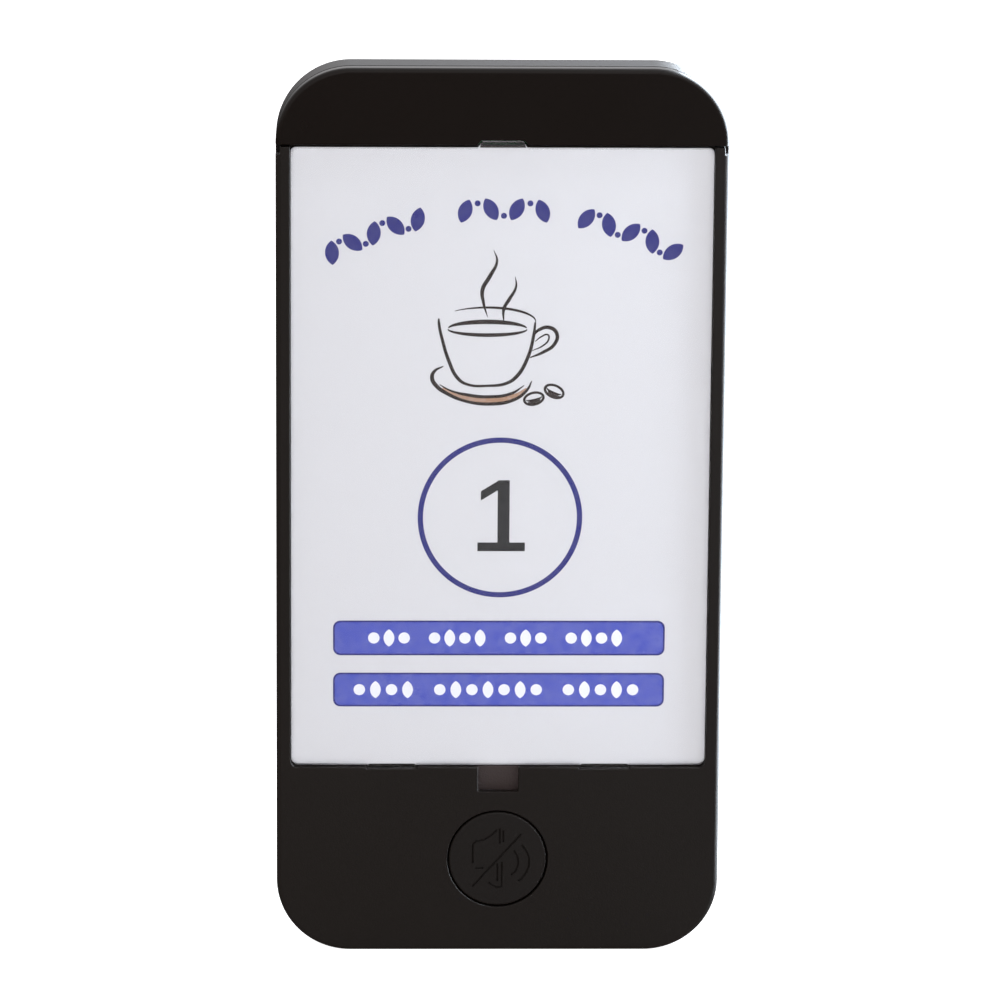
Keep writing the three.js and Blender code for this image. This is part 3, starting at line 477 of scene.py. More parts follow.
def metal_grain():
    """Drawn or stamped metal: fine lines along one axis and faint stains."""
    tree, given, out = group(
        "Metal grain",
        [("Vector", "Vector", None), ("Colour", "Color", (0.6, 0.6, 0.6, 1)),
         ("Roughness", "Float", 0.3), ("Line size", "Float", 0.0001)],
        [("Colour", "Color"), ("Roughness", "Float"), ("Height", "Float")],
    )
    scale = maths(tree, "DIVIDE", 1.0, given.outputs["Line size"])
    stretched = node(tree, "ShaderNodeMapping", Vector=given.outputs["Vector"], Scale=(0.06, 1, 1))
    lines = noise(tree, stretched.outputs[0], scale, 3.0, 0.6)
    stains = noise(tree, given.outputs["Vector"], 380.0, 4.0, 0.6)
    rough = swing(tree, lines, 0.25, given.outputs["Roughness"])
    put(out, "Colour", scale_colour(tree, given.outputs["Colour"], swing(tree, stains, 0.35, 1.0)))
    put(out, "Roughness", maths(tree, "MULTIPLY_ADD", stains, 0.08, rough, clamp=True))
    put(out, "Height", lines)


class Look:
    """A new material, its Principled shader, and short ways to feed it."""

    def __init__(self, name):
        self.material = bpy.data.materials.new(name)
        self.material.use_nodes = True
        self.tree = self.material.node_tree
        self.shader = self.tree.nodes["Principled BSDF"]
        self.vector = self.tree.nodes.new("ShaderNodeTexCoord").outputs["Object"]

    def use(self, name, **inputs):
        """Places one of the shared groups, with its own values."""
        made = self.tree.nodes.new("ShaderNodeGroup")
        made.node_tree = bpy.data.node_groups[name]
        put(made, "Vector", self.vector)
        for key, value in inputs.items():
            put(made, key.replace("_", " "), value)
        return made

    def set(self, **inputs):
        """Feeds the shader's inputs, where spaces are written as underscores."""
        for key, value in inputs.items():
            put(self.shader, key.replace("_", " "), value)

    def bump(self, height, depth):
        """Adds relief of a given depth, in metres."""
        made = node(self.tree, "ShaderNodeBump", Height=height, Distance=depth, Strength=1.0)
        put(self.shader, "Normal", made.outputs[0])


def moulded(name, tone, roughness, grain=0.22 * MM, drift=0.15, specular=0.5, relief=0.01 * MM,
            specks=0.0):
    """Moulded plastic, rubber or the like, with specks of dust where their spacing is given."""
    look = Look(name)
    finish = look.use("Moulded grain", Colour=tone, Drift=drift, Grain_size=grain, Roughness=roughness)
    shade = finish.outputs["Colour"]
    if specks:
        mask = look.use("Dust", Spacing=specks, Speck_size=0.011).outputs["Mask"]
        share = maths(look.tree, "MULTIPLY", mask, 0.35)
        shade = blend_colours(look.tree, share, shade, (0.5, 0.48, 0.45))
    look.set(Base_Color=shade, Roughness=finish.outputs["Roughness"], Specular_IOR_Level=specular)
    look.bump(finish.outputs["Height"], relief)


def metal(name, tone, roughness, line=0.1 * MM, relief=0.002 * MM):
    """Plated, drawn or stamped metal."""
    look = Look(name)
    finish = look.use("Metal grain", Colour=tone, Roughness=roughness, Line_size=line)
    look.set(Base_Color=finish.outputs["Colour"], Roughness=finish.outputs["Roughness"], Metallic=1.0)
    look.bump(finish.outputs["Height"], relief)


def printed(name, ink, cover):
    """Ink on the card."""
    look = Look(name)
    finish = look.use("Print grain", Ink=ink, Thin=colours().card, Cover=cover)
    look.set(Base_Color=finish.outputs["Colour"], Roughness=finish.outputs["Roughness"],
             Specular_IOR_Level=0.08)


def coated_card():
    """Coated card: nearly even white, with faint fibres and a satin surface."""
    look = Look("coated_card")
    tree = look.tree
    tone = colours().card
    slow = noise(tree, look.vector, 60.0, 3.0)
    fibres = noise(tree, look.vector, 4200.0, 4.0, 0.65)
    shade = blend_colours(tree, slow, tuple(c * 0.985 for c in tone), tone)
    shade = blend_colours(tree, steps(tree, fibres, 0.35, 0.7, 0.0, 0.05), shade,
                          tuple(c * 0.93 for c in tone))
    look.set(Base_Color=shade, Roughness=steps(tree, fibres, 0.3, 0.7, 0.5, 0.62),
             Specular_IOR_Level=0.2)
    look.bump(fibres, 0.0008 * MM)


def clear_plastic():
    """Clear polished plastic that casts no shadow, with a trace of handling on its gloss."""
    look = Look("clear_pane")
    tree = look.tree
    smears = noise(tree, look.vector, 55.0, 4.0, 0.6)
    look.set(Base_Color=(1, 1, 1), Roughness=steps(tree, smears, 0.45, 0.8, 0.015, 0.05),
             IOR=1.32, Transmission_Weight=1.0)
    passing = tree.nodes.new("ShaderNodeBsdfTransparent")
    path = tree.nodes.new("ShaderNodeLightPath")
    mix = tree.nodes.new("ShaderNodeMixShader")
    put(mix, 0, path.outputs["Is Shadow Ray"])
    put(mix, 1, look.shader.outputs[0])
    put(mix, 2, passing.outputs[0])
    put(tree.nodes["Material Output"], "Surface", mix.outputs[0])


def circuit_board():
    """Solder mask over copper: the traces show as paler, raised bands."""
    look = Look("circuit_board")
    tree = look.tree
    tone = colours().board
    flat = node(tree, "ShaderNodeMapping", Vector=look.vector, Scale=(1, 0, 1)).outputs[0]
    bricks = node(tree, "ShaderNodeTexBrick", Vector=flat, Scale=260.0, Mortar_Size=0.06,
                  Color1=(0, 0, 0), Color2=(0, 0, 0), Mortar=(1, 1, 1))
    route = steps(tree, noise(tree, flat, 120.0, 1.0), 0.45, 0.5)
    traces = maths(tree, "MULTIPLY", bricks.outputs["Color"], route)
    weave = noise(tree, look.vector, 2600.0, 3.0)
    shade = blend_colours(tree, traces, tone, (0.035, 0.17, 0.06))
    shade = blend_colours(tree, steps(tree, weave, 0.3, 0.7, 0, 0.2), shade, tuple(c * 0.6 for c in tone))
    look.set(Base_Color=shade, Roughness=steps(tree, weave, 0.3, 0.7, 0.28, 0.42), Coat_Weight=0.25)
    look.bump(maths(tree, "MULTIPLY_ADD", weave, 0.15, traces), 0.02 * MM)


def make_materials():
    """Builds the shared groups and every finish, once."""
    for build in (moulded_grain, dust, print_grain, metal_grain):
        build()
    tones = colours()
    moulded("housing_matte", tones.housing, 0.44, specular=0.28)
    # The notch floor's coarser grain is real; its colour, lighter than the housing, is painted light, as if
    # the flat floor were tilted up towards the light from above.
    moulded("notch_texture_painted_light", (0.041, 0.026, 0.024), 0.7, grain=0.3 * MM, relief=0.04 * MM)
    moulded("lamp_cap_satin", tones.cap, 0.28, grain=0.4 * MM, specular=0.3, relief=0.003 * MM,
            specks=20 * MM)
    moulded("key_matte", tones.key, 0.5, specular=0.28)
    moulded("chip_epoxy", (0.011, 0.011, 0.012), 0.45, grain=0.15 * MM)
    moulded("rubber", (0.016, 0.016, 0.017), 0.78, grain=0.3 * MM)
    moulded("foam", (0.014, 0.014, 0.015), 0.95, grain=0.6 * MM, relief=0.12 * MM)
    moulded("connector_nylon", (0.78, 0.74, 0.64), 0.42, grain=0.3 * MM)
    moulded("lamp_milky", (0.86, 0.84, 0.74), 0.3, grain=0.6 * MM, drift=0.05)
    moulded("red_insulation", (0.42, 0.014, 0.010), 0.4, grain=0.3 * MM)
    moulded("black_insulation", (0.009, 0.009, 0.009), 0.4, grain=0.3 * MM)
    moulded("ceramic", (0.36, 0.24, 0.12), 0.5, grain=0.2 * MM)
    printed("navy_ink", tones.navy, 0.95)
    printed("bar_ink", tones.bar, 0.87)
    printed("coffee_ink", tones.coffee, 0.97)
    printed("tan_ink", (0.36, 0.20, 0.12), 0.7)
    printed("numeral_ink", tones.numeral, 0.96)
    printed("reversed_print", tones.paper, 0.9)
    metal("bright_steel", (0.58, 0.58, 0.60), 0.28)
    metal("blackened_steel", (0.10, 0.10, 0.105), 0.36)
    metal("gold_finish", (0.83, 0.60, 0.24), 0.24)
    metal("tungsten_finish", (0.33, 0.33, 0.345), 0.38, line=0.3 * MM)
    metal("foil", (0.66, 0.67, 0.69), 0.3, line=0.8 * MM, relief=0.03 * MM)
    coated_card()
    clear_plastic()
    circuit_board()


def finish_named(name):
    """One of the finishes, all of which are built when the first is asked for."""
    if name not in bpy.data.materials:
        make_materials()
    return bpy.data.materials[name]


# ---------------------------------------------------------------- housing


CAP_EDGE = CAP_LOW.z + 3 * MM  # the cap's lower edge; only its hooks reach further down
FRAME_TOP = CAP_EDGE - 0.3 * MM  # below the seam under the cap
TRAY_FRONT = CARD_HIGH.y + 0.1 * MM  # the tray's floor, behind the card and its gap
ROOT = 0.3 * MM  # how far a post or a hook starts inside the plate that it stands on
CASE_POST = 2.3 * MM
CASE_PILOT = 1.1 * MM
CASE_POST_BACK = 0.8 * MM
BOARD_POST = 1.95 * MM
BOARD_PILOT = 0.95 * MM
BOARD_ROOT = 0.5 * MM
BOARD_POST_BACK = 0.5 * MM
NOTCH_CORNER = 0.25 * MM
HOOK_OFFSET = 10 * MM
HOOK_HALF = 2 * MM
HOOK_THICKNESS = 1 * MM
HOOK_GAP = 0.85 * MM  # behind the front plate
HOOK_ROOT_DEPTH = 1.8 * MM
HOOK_ROOT_HEIGHT = 1.2 * MM
SCREW_SINK = 1.3 * MM  # from the top of a case screw to the floor of its well
SCREW_HOLE = 1.1 * MM
WELL_WALL = 1 * MM
WELL_ROOT = 0.5 * MM  # how far a well's wall runs into the back
SOUND_HOLES = 6
CONTACTS = ("charge_contact_left", "charge_contact_right")
CONTACT_GAP = 0.3 * MM


def housing_blank():
    """The whole housing as one closed shape with its rounded edges, before it is parted."""
    s = sizes()
    made = block(CAD_LOW, CAD_HIGH, "housing")
    round_depth_edges(made, s.corner_radius, 28)
    round_rim(made, CAD_LOW.y, s.front_edge, 6)
    round_rim(made, CAD_HIGH.y, s.rear_edge, 10)
    return made


def rounded_slab(low, high, radius, segments=8, name="slab"):
    """A slab with its corners rounded in the plane of the front face."""
    made = block(low, high, name)
    round_depth_edges(made, radius, segments)
    return made


def outline_slab(inset, y0, y1):
    """A slab with the housing's outline, drawn in from its outer edge."""
    low = Vector((CAD_LOW.x + inset, y0, CAD_LOW.z + inset))
    high = Vector((CAD_HIGH.x - inset, y1, CAD_HIGH.z - inset))
    return rounded_slab(low, high, sizes().corner_radius - inset, 20)


def space(y0=-FAR, y1=FAR, z0=-FAR, z1=FAR):
    """A large box that holds what lies between two depths and two heights."""
    return block((-FAR, y0, z0), (FAR, y1, z1), "space")


def locating_lip():
    """The lip behind the front pieces that fits inside the rear shell, all round."""
    s = sizes()
    back = FRAME_LOW.y + s.front_plate
    inset = s.side_wall + s.lip_gap
    lip = outline_slab(inset, back - 0.5 * MM, back + s.lip_depth)
    return cut(lip, outline_slab(inset + s.lip_wall, back - MM, back + s.lip_depth + MM))


def top_tab(gap, y0, y1):
    """The cover's top tab, or the notch for it when it is grown by a gap."""
    s = sizes()
    foot = COVER_HIGH.z - s.top_tab_height
    made = block((-s.top_tab / 2 - gap, y0, foot), (s.top_tab / 2 + gap, y1, COVER_HIGH.z + gap), "tab")
    pick(made, "VERT", lambda v: v.co.z > foot + MM / 10)
    share = (s.top_tab_tip / 2 + gap) / (s.top_tab / 2 + gap)
    bpy.ops.transform.resize(value=(share, 1, 1))
    bpy.ops.object.mode_set(mode="OBJECT")
    return made


def lower_tab(side, gap, y0, y1):
    """One of the cover's lower tabs, or the slot for it when it is grown by a gap."""
    s = sizes()
    middle = side * s.lower_tab_offset
    half = s.lower_tab / 2 + gap
    foot = COVER_LOW.z + s.lower_tab_height
    return block((middle - half, y0, COVER_LOW.z - gap), (middle + half, y1, foot + MM), "tab")


def post(x, z, radius, hole, y0, y1):
    """A screw post with its pilot hole."""
    return cut(bar(x, z, radius, y0, y1, 32), bar(x, z, hole, y0 + 0.5 * MM, y1 + MM, 24))


def case_post(side, z):
    """The post on the back of the front plate that one case screw goes into."""
    s = sizes()
    x = side * (CAD_HIGH.x - s.screw_side)
    return post(x, z, CASE_POST, CASE_PILOT, CAD_LOW.y + s.front_plate - ROOT, CASE_POST_BACK)


class PAGER_OT_front_frame(bpy.types.Operator):
    """Builds the chin, the two rails and the tray that holds the card"""

    bl_idname = "pager.front_frame"
    bl_label = "Front frame"

    def execute(self, context):
        s = sizes()
        front = CAD_LOW.y
        back = front + s.front_plate
        half = CAD_HIGH.x - s.rail
        notch_half = s.pry_width / 2
        plate = meet(housing_blank(), space(front - MM, back, -MM, FRAME_TOP))
        window = rounded_slab((-half, front - MM, s.chin), (half, back + MM, FAR), s.window_corner)
        key_hole = bar(0, KEY_MIDDLE, s.key_radius + s.key_groove, front - MM, back + MM, 96)
        notch = rounded_slab(
            (-notch_half, front - MM, s.chin - s.pry_height),
            (notch_half, front + s.pry_depth, s.chin + MM), NOTCH_CORNER, 3,
        )
        cut(plate, window, key_hole, notch)
        for side in SIDES:
            inner = side * (CAD_HIGH.x - s.side_notch_depth)
            outer = side * 2 * CAD_HIGH.x
            low = (min(inner, outer), front - MM, FRAME_TOP - s.side_notch_height)
            cut(plate, block(low, (max(inner, outer), back + MM, FAR)))
            cut(plate, lower_tab(side, s.tab_gap, front - MM, TRAY_FRONT))
        clean(plate)
        soften(plate, s.mould_edge, 3)
        tray = meet(
            outline_slab(s.side_wall + s.lip_gap, TRAY_FRONT, TRAY_FRONT + s.tray_floor),
            space(z0=s.chin - s.lip_wall, z1=FRAME_TOP),
        )
        join(plate, join(meet(locating_lip(), space(z0=-MM, z1=FRAME_TOP)), tray))
        for side in SIDES:
            join(plate, case_post(side, s.screw_end))
            for screw in ("board_screw_1", "board_screw_3"):
                low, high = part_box(screw)
                x = side * abs(low.x + high.x) / 2
                z = (low.z + high.z) / 2
                foot = TRAY_FRONT + BOARD_ROOT
                join(plate, post(x, z, BOARD_POST, BOARD_PILOT, foot, BOARD_POST_BACK))
        plate.name = "front_frame_shell"
        smooth(plate)
        finish_piece(plate, "housing_matte", "housing", ["front_frame"])
        self.notch_floor(plate)
        return {"FINISHED"}

    def notch_floor(self, plate):
        """Gives the pry notch's floor its coarser texture, and a lighter colour that is painted light: the
        flat floor is coloured as if it were tilted up to catch the light from above.
        """
        s = sizes()
        near = MM / 10
        floor = CAD_LOW.y + s.pry_depth
        plate.data.materials.append(finish_named("notch_texture_painted_light"))
        for polygon in plate.data.polygons:
            x, y, z = polygon.center
            across = abs(x) < s.pry_width / 2 + near
            if across and s.chin - s.pry_height - near < z < s.chin and same(y, floor, near / 2):
                polygon.material_index = 1


class PAGER_OT_lamp_cap(bpy.types.Operator):
    """Builds the lamp cap across the top"""

    bl_idname = "pager.lamp_cap"
    bl_label = "Lamp cap"

    def execute(self, context):
        s = sizes()
        front = CAD_LOW.y
        back = front + s.front_plate
        cap = meet(housing_blank(), space(front - MM, back, CAP_EDGE, FAR))
        cut(cap, top_tab(s.tab_gap, front - MM, back + MM))
        clean(cap)
        soften(cap, s.mould_edge, 3)
        join(cap, meet(locating_lip(), space(z0=CAP_EDGE, z1=FAR)))
        top = CAP_EDGE + HOOK_ROOT_HEIGHT
        for side in SIDES:
            join(cap, case_post(side, CAD_HIGH.z - s.screw_end))
            left = side * HOOK_OFFSET - HOOK_HALF
            right = side * HOOK_OFFSET + HOOK_HALF
            hook_front = back + HOOK_GAP
            hook = block((left, hook_front, CAP_LOW.z), (right, hook_front + HOOK_THICKNESS, top))
            root = block((left, back - ROOT, CAP_EDGE), (right, back + HOOK_ROOT_DEPTH, top))
            join(cap, join(hook, root))
        cap.name = "lamp_cap"
        smooth(cap)
        finish_piece(cap, "lamp_cap_satin", "housing", ["top_cap"])
        return {"FINISHED"}


class PAGER_OT_rear_shell(bpy.types.Operator):
    """Builds the rear shell with its screw wells, sound holes and contact slots"""

    bl_idname = "pager.rear_shell"
    bl_label = "Rear shell"

    def execute(self, context):
        s = sizes()
        front = CAD_LOW.y + s.front_plate + s.parting_gap
        back = SHELL_HIGH.y
        inner = back - s.rear_wall
        shell = meet(housing_blank(), space(front, back + MM, -MM, FAR))
        cavity = block(
            (CAD_LOW.x + s.side_wall, front - MM, CAD_LOW.z + s.side_wall),
            (CAD_HIGH.x - s.side_wall, inner, CAD_HIGH.z - s.side_wall),
        )
        round_depth_edges(cavity, s.corner_radius - s.side_wall, 20)
        round_rim(cavity, inner, s.rear_edge - s.side_wall, 4)
        cut(shell, cavity)
        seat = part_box("case_screw_1")[1].y - SCREW_SINK
        ends = (s.screw_end, CAD_HIGH.z - s.screw_end)
        axes = [(side * (CAD_HIGH.x - s.screw_side), z) for z in ends for side in SIDES]
        for x, z in axes:
            join(shell, bar(x, z, s.screw_well + WELL_WALL, seat - WELL_WALL, inner + WELL_ROOT, 40))
        for x, z in axes:
            cut(shell, bar(x, z, s.screw_well, seat, back + MM, 48))
            cut(shell, bar(x, z, SCREW_HOLE, seat - 2 * MM, seat + MM, 32))
        holes = [(BUZZER_MIDDLE.x, BUZZER_MIDDLE.z)]
        for turn in range(SOUND_HOLES):
            angle = math.tau * turn / SOUND_HOLES
            holes.append((BUZZER_MIDDLE.x + s.sound_ring * math.cos(angle),
                          BUZZER_MIDDLE.z + s.sound_ring * math.sin(angle)))
        for x, z in holes:
            cut(shell, bar(x, z, s.sound_hole, inner - MM, back + MM, 24))
        for name in CONTACTS:
            low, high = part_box(name)
            cut(shell, block((low.x - CONTACT_GAP, low.y - CONTACT_GAP, -MM),
                             (high.x + CONTACT_GAP, high.y + CONTACT_GAP, s.side_wall + MM)))
        clean(shell)
        soften(shell, s.mould_edge, 2)
        shell.name = "rear_shell_moulding"
        smooth(shell)
        finish_piece(shell, "housing_matte", "housing", ["rear_shell"])
        return {"FINISHED"}


# ---------------------------------------------------------------- cover and card


COVER_SHARP = 0.9  # radians: the rim of the cover's front face turns by more
COVER_SOFTENING = 0.05 * MM
CARD_CORNER = 0.7 * MM
CARD_SOFTENING = 0.04 * MM


class PAGER_OT_clear_cover(bpy.types.Operator):
    """Builds the clear cover with its top tab and two lower tabs"""

    bl_idname = "pager.clear_cover"
    bl_label = "Clear cover"

    def execute(self, context):
        s = sizes()
        low = COVER_LOW + Vector((0, 0, s.lower_tab_height))
        high = COVER_HIGH - Vector((0, 0, s.top_tab_height))
        cover = rounded_slab(low, high, s.window_corner, 8, "clear_cover_pane")
        tab = top_tab(0, COVER_LOW.y, COVER_HIGH.y)
        pick(tab, "VERT", lambda v: v.co.z < high.z + MM / 10)
        bpy.ops.transform.translate(value=(0, 0, -MM / 2))
        bpy.ops.object.mode_set(mode="OBJECT")
        join(cover, tab)
        for side in SIDES:
            join(cover, lower_tab(side, 0, COVER_LOW.y, COVER_HIGH.y))
        clean(cover)
        pick(cover, "EDGE", lambda e: len(e.link_faces) == 2 and e.calc_face_angle(0) > COVER_SHARP
             and all(same(v.co.y, COVER_LOW.y) for v in e.verts))
        bevel_picked(s.cover_edge, 2)
        soften(cover, COVER_SOFTENING, 1, 60)
        smooth(cover, 35)
        finish_piece(cover, "clear_pane", "cover", ["clear_cover"])
        return {"FINISHED"}


class PAGER_OT_card(bpy.types.Operator):
    """Builds the printed card's blank"""

    bl_idname = "pager.card"
    bl_label = "Card"

    def execute(self, context):
        reach = Vector((sizes().card_reach, 0, sizes().card_reach))
        card = rounded_slab(CARD_LOW - reach, CARD_HIGH + reach, CARD_CORNER, 6, "card_blank")
        soften(card, CARD_SOFTENING)
        smooth(card)
        finish_piece(card, "coated_card", "housing", ["card_insert"])
        return {"FINISHED"}


# ---------------------------------------------------------------- print on the card


def lay_print(made, name, ink, lift=0.4):
    """Flattens a drawing to a film of ink, lifted off the card by a share of its thickness."""
    activate(made)
    y = [v.co.y for v in made.data.vertices]
    middle = (min(y) + max(y)) / 2
    thickness = max(y) - min(y)
    made.location.y = -middle
    settle()
    made.scale.y = sizes().ink / thickness
    settle()
    made.location.y = CARD_LOW.y - sizes().ink * lift
    settle(name)
    finish_piece(made, ink, "housing")


def stroke(points, width, closed=False, smooth_line=True):
    """A line through points in X and Z, in millimetres; a third number scales its width there."""
    deselect()
    bpy.ops.curve.primitive_bezier_curve_add(location=(0, 0, 0))
    line = bpy.context.active_object
    spline = line.data.splines[0]
    spline.bezier_points.add(len(points) - 2)
    handle = "AUTO" if smooth_line else "VECTOR"
    for place, (x, z, *weight) in zip(spline.bezier_points, points):
        place.co = (x * MM, 0, z * MM)
        place.radius = weight[0] if weight else 1
        place.handle_left_type = handle
        place.handle_right_type = handle
    spline.use_cyclic_u = closed
    spline.resolution_u = 10
    line.data.dimensions = "3D"
    line.data.bevel_depth = width * MM / 2
    line.data.bevel_resolution = 2
    line.data.use_fill_caps = True
    bpy.ops.object.convert(target="MESH")
    return settle("stroke")


def oval(x, z, across, up, start, end, count, weights=None, turn=0.0):
    """Points along part of an oval, with angles in degrees from +X."""
    points = []
    tilt = math.radians(turn)
    for step in range(count):
        share = step / (count - 1)
        angle = math.radians(start + (end - start) * share)
        px = across * math.cos(angle)
        pz = up * math.sin(angle)
        weight = 1.0 if weights is None else weights(share)
        points.append((x + px * math.cos(tilt) - pz * math.sin(tilt),
                       z + px * math.sin(tilt) + pz * math.cos(tilt), weight))
    return points


def tapered(share):
    """Width along a brush stroke: thin ends and a full middle."""
    return 0.25 + 0.75 * math.sin(math.pi * share)


def leaf(x, z, length, width, turn=0.0):
    """A pointed leaf, where two rounds overlap, in millimetres and degrees."""
    radius = (length * length + width * width) / (4 * width)
    offset = radius - width / 2
    left, right = (bar(side * offset * MM, 0, radius * MM, 0, MM, 64, "leaf") for side in SIDES)
    made = activate(meet(left, right))
    made.rotation_euler.y = -math.radians(turn)
    made.location = (x * MM, 0, z * MM)
    return settle("leaf")


def spot(x, z, radius):
    """A round spot, in millimetres."""
    return bar(x * MM, z * MM, radius * MM, 0, MM, 20, "spot")


# The arc of leaves, in millimetres and degrees. A group has its first angle, its last and its count.
ARC_MIDDLE = (0.3, 55.9)
ARC_RADIUS = 46.8
ARC_GROUPS = ((-29.2, -14.2, 5), (-6.4, 6.2, 4), (13.4, 28.6, 5))
LEAF_LENGTH = 3.3
LEAF_WIDTH = 1.85
LEAF_LEAN = 26
BERRY_OFFSET = 0.9
BERRY_RADIUS = 0.4


class PAGER_OT_arc_print(bpy.types.Operator):
    """Prints the arc of leaf ornaments across the top of the card"""

    bl_idname = "pager.arc_print"
    bl_label = "Leaf arc"

    def execute(self, context):
        leaves = []
        for first, last, count in ARC_GROUPS:
            for index in range(count):
                angle = math.radians(first + (last - first) * index / (count - 1))
                x = ARC_MIDDLE[0] + ARC_RADIUS * math.sin(angle)
                z = ARC_MIDDLE[1] + ARC_RADIUS * math.cos(angle)
                sign = 1 if index % 2 else -1
                turn = sign * LEAF_LEAN - math.degrees(angle)
                leaves.append(leaf(x, z, LEAF_LENGTH, LEAF_WIDTH, turn))
                if index < count - 1:
                    between = angle + math.radians((last - first) / (count - 1) / 2)
                    radius = ARC_RADIUS - sign * BERRY_OFFSET
                    leaves.append(spot(ARC_MIDDLE[0] + radius * math.sin(between),
                                       ARC_MIDDLE[1] + radius * math.cos(between), BERRY_RADIUS))
        lay_print(merge(leaves, "leaf_arc"), "leaf_arc_print", "navy_ink")
        return {"FINISHED"}


# The cup's lines in millimetres: a width, and points in X and Z with a share of that width.
CUP_RIM = (-1.9, 87.5)
DRINK = (-1.85, 86.5)
CUP_LINES = {
    "bowl": (0.42, ((-8.35, 87.9, 0.5), (-8.3, 87.1, 0.9), (-7.85, 85.0, 1), (-7.0, 82.2, 1.1),
                    (-5.8, 79.8, 1.1), (-4.7, 79.0, 0.9), (-1.65, 78.75, 0.8), (0.75, 79.1, 1),
                    (2.05, 80.0, 1.2), (3.5, 82.5, 1.1), (4.3, 85.6, 1), (4.5, 87.4, 0.6))),
    "handle": (0.42, ((4.35, 85.75, 0.6), (4.95, 86.35, 1), (6.4, 86.7, 1.2), (7.4, 85.8, 1.2),
                      (7.05, 84.4, 1.1), (5.6, 83.35, 1), (3.85, 82.6, 0.4))),
    "inside of handle": (0.26, ((4.5, 84.8, 0.4), (5.4, 85.5, 0.8), (6.2, 85.7, 0.9), (6.3, 85.1, 0.9),
                                (5.5, 84.2, 0.8), (4.1, 83.55, 0.4))),
    "saucer": (0.46, ((-7.7, 81.4, 0.3), (-8.9, 80.7, 0.9), (-9.2, 79.8, 1.2), (-8.6, 78.7, 1.2),
                      (-7.2, 77.7, 1.1), (-5.1, 76.8, 1.1), (-1.65, 76.3, 1.2), (1.8, 76.9, 1.1),
                      (3.5, 78.2, 0.8), (4.1, 79.4, 0.3))),
    "well of saucer": (0.36, ((-8.2, 78.9, 0.3), (-6.6, 78.0, 0.9), (-4.6, 77.5, 1.3), (-1.65, 77.2, 1.4),
                              (1.4, 77.7, 1.1), (3.1, 78.8, 0.3))),
    "left steam": (0.36, ((-1.1, 97.2, 0.2), (-0.65, 95.7, 0.9), (-1.6, 93.6, 1.5), (-2.55, 91.8, 1.5),
                          (-2.4, 90.0, 1.1), (-1.85, 88.1, 0.2))),
    "right steam": (0.34, ((1.8, 93.6, 0.2), (1.9, 92.2, 0.9), (1.0, 90.5, 1.4), (0.3, 89.2, 1.3),
                           (0.3, 87.4, 0.3))),
}
SAUCER_SHADE = (0.62, ((-7.8, 78.4, 0.3), (-5.2, 77.2, 1), (-1.65, 76.75, 1.2), (1.7, 77.3, 1),
                       (3.4, 78.4, 0.3)))
BEANS = ((4.4, 77.0, 14), (7.1, 78.0, -24))
BEAN_LINE = 0.34
BEAN_CREASE = 0.42


class PAGER_OT_cup_print(bpy.types.Operator):
    """Prints the line drawing of a cup, its saucer, the steam and two beans"""

    bl_idname = "pager.cup_print"
    bl_label = "Cup drawing"

    def execute(self, context):
        lines = [stroke(oval(*CUP_RIM, 6.45, 1.9, 132, -6, 21, tapered), 0.34)]
        lines += [stroke(points, width) for width, points in CUP_LINES.values()]
        lines.append(stroke(oval(*DRINK, 5.25, 0.95, 172, 8, 17, tapered), 0.62))
        lines.append(stroke(oval(*DRINK, 5.3, 0.85, 184, 356, 17, tapered), 0.5))
        for x, z, turn in BEANS:
            outline = oval(x, z, 1.3, 0.8, 0, 360, 17, turn=turn)[:-1]
            lines.append(stroke(outline, BEAN_LINE, closed=True))
            lines.append(stroke(oval(x, z + 0.1, 1.1, 0.3, 190, 350, 7, tapered, turn), BEAN_LINE))
            lines.append(stroke(oval(x, z - 0.22, 0.9, 0.3, 200, 340, 7, tapered, turn), BEAN_CREASE))
        lay_print(merge(lines, "cup"), "cup_print", "coffee_ink")
        width, points = SAUCER_SHADE
        lay_print(stroke(points, width), "saucer_shade_print", "tan_ink")
        return {"FINISHED"}


RING_RADIUS = 10.68 * MM
RING_LINE = 0.72 * MM
RING_MIDDLE = 60.63 * MM
NUMERAL_BOX = (-3.0, 3.37, 56.0, 65.79)  # left, right, foot and top, in millimetres
NUMERAL_STEM = (-0.32, 1.28)
NUMERAL_FOOT = 1.2 * MM
STEM_START = 0.5 * MM  # above the numeral's foot, so that the stem overlaps the foot bar
FLAG_HALF = 0.54 * MM
FLAG_TURN = 32
FLAG_END = -2.58 * MM


class PAGER_OT_number_print(bpy.types.Operator):
    """Prints the ring and the numeral in it"""

    bl_idname = "pager.number_print"
    bl_label = "Ring and numeral"

    def execute(self, context):
        deselect()
        bpy.ops.mesh.primitive_torus_add(
            major_segments=128, minor_segments=8, major_radius=RING_RADIUS, minor_radius=RING_LINE / 2,
            location=(0, 0, RING_MIDDLE), rotation=(math.pi / 2, 0, 0),
        )
        lay_print(settle("ring"), "ring_print", "navy_ink")
        left, right, foot, top = (place * MM for place in NUMERAL_BOX)
        stem_left, stem_right = (place * MM for place in NUMERAL_STEM)
        numeral = block((left, 0, foot), (right, MM, foot + NUMERAL_FOOT), "numeral")
        join(numeral, block((stem_left, 0, foot + STEM_START), (stem_right, MM, top)))
        flag = block((-4 * MM, 0, -FLAG_HALF), (1.2 * MM, MM, FLAG_HALF))
        flag.rotation_euler.y = -math.radians(FLAG_TURN)
        flag.location = (-0.17 * MM, 0, top - 0.65 * MM)
        activate(flag)
        cut(settle(), block((stem_right, -MM, foot), (FAR, 2 * MM, FAR)),
            block((-FAR, -MM, foot), (FLAG_END, 2 * MM, FAR)), block((-FAR, -MM, top), (FAR, 2 * MM, FAR)))
        join(numeral, flag)
        lay_print(numeral, "numeral_print", "numeral_ink")
        return {"FINISHED"}


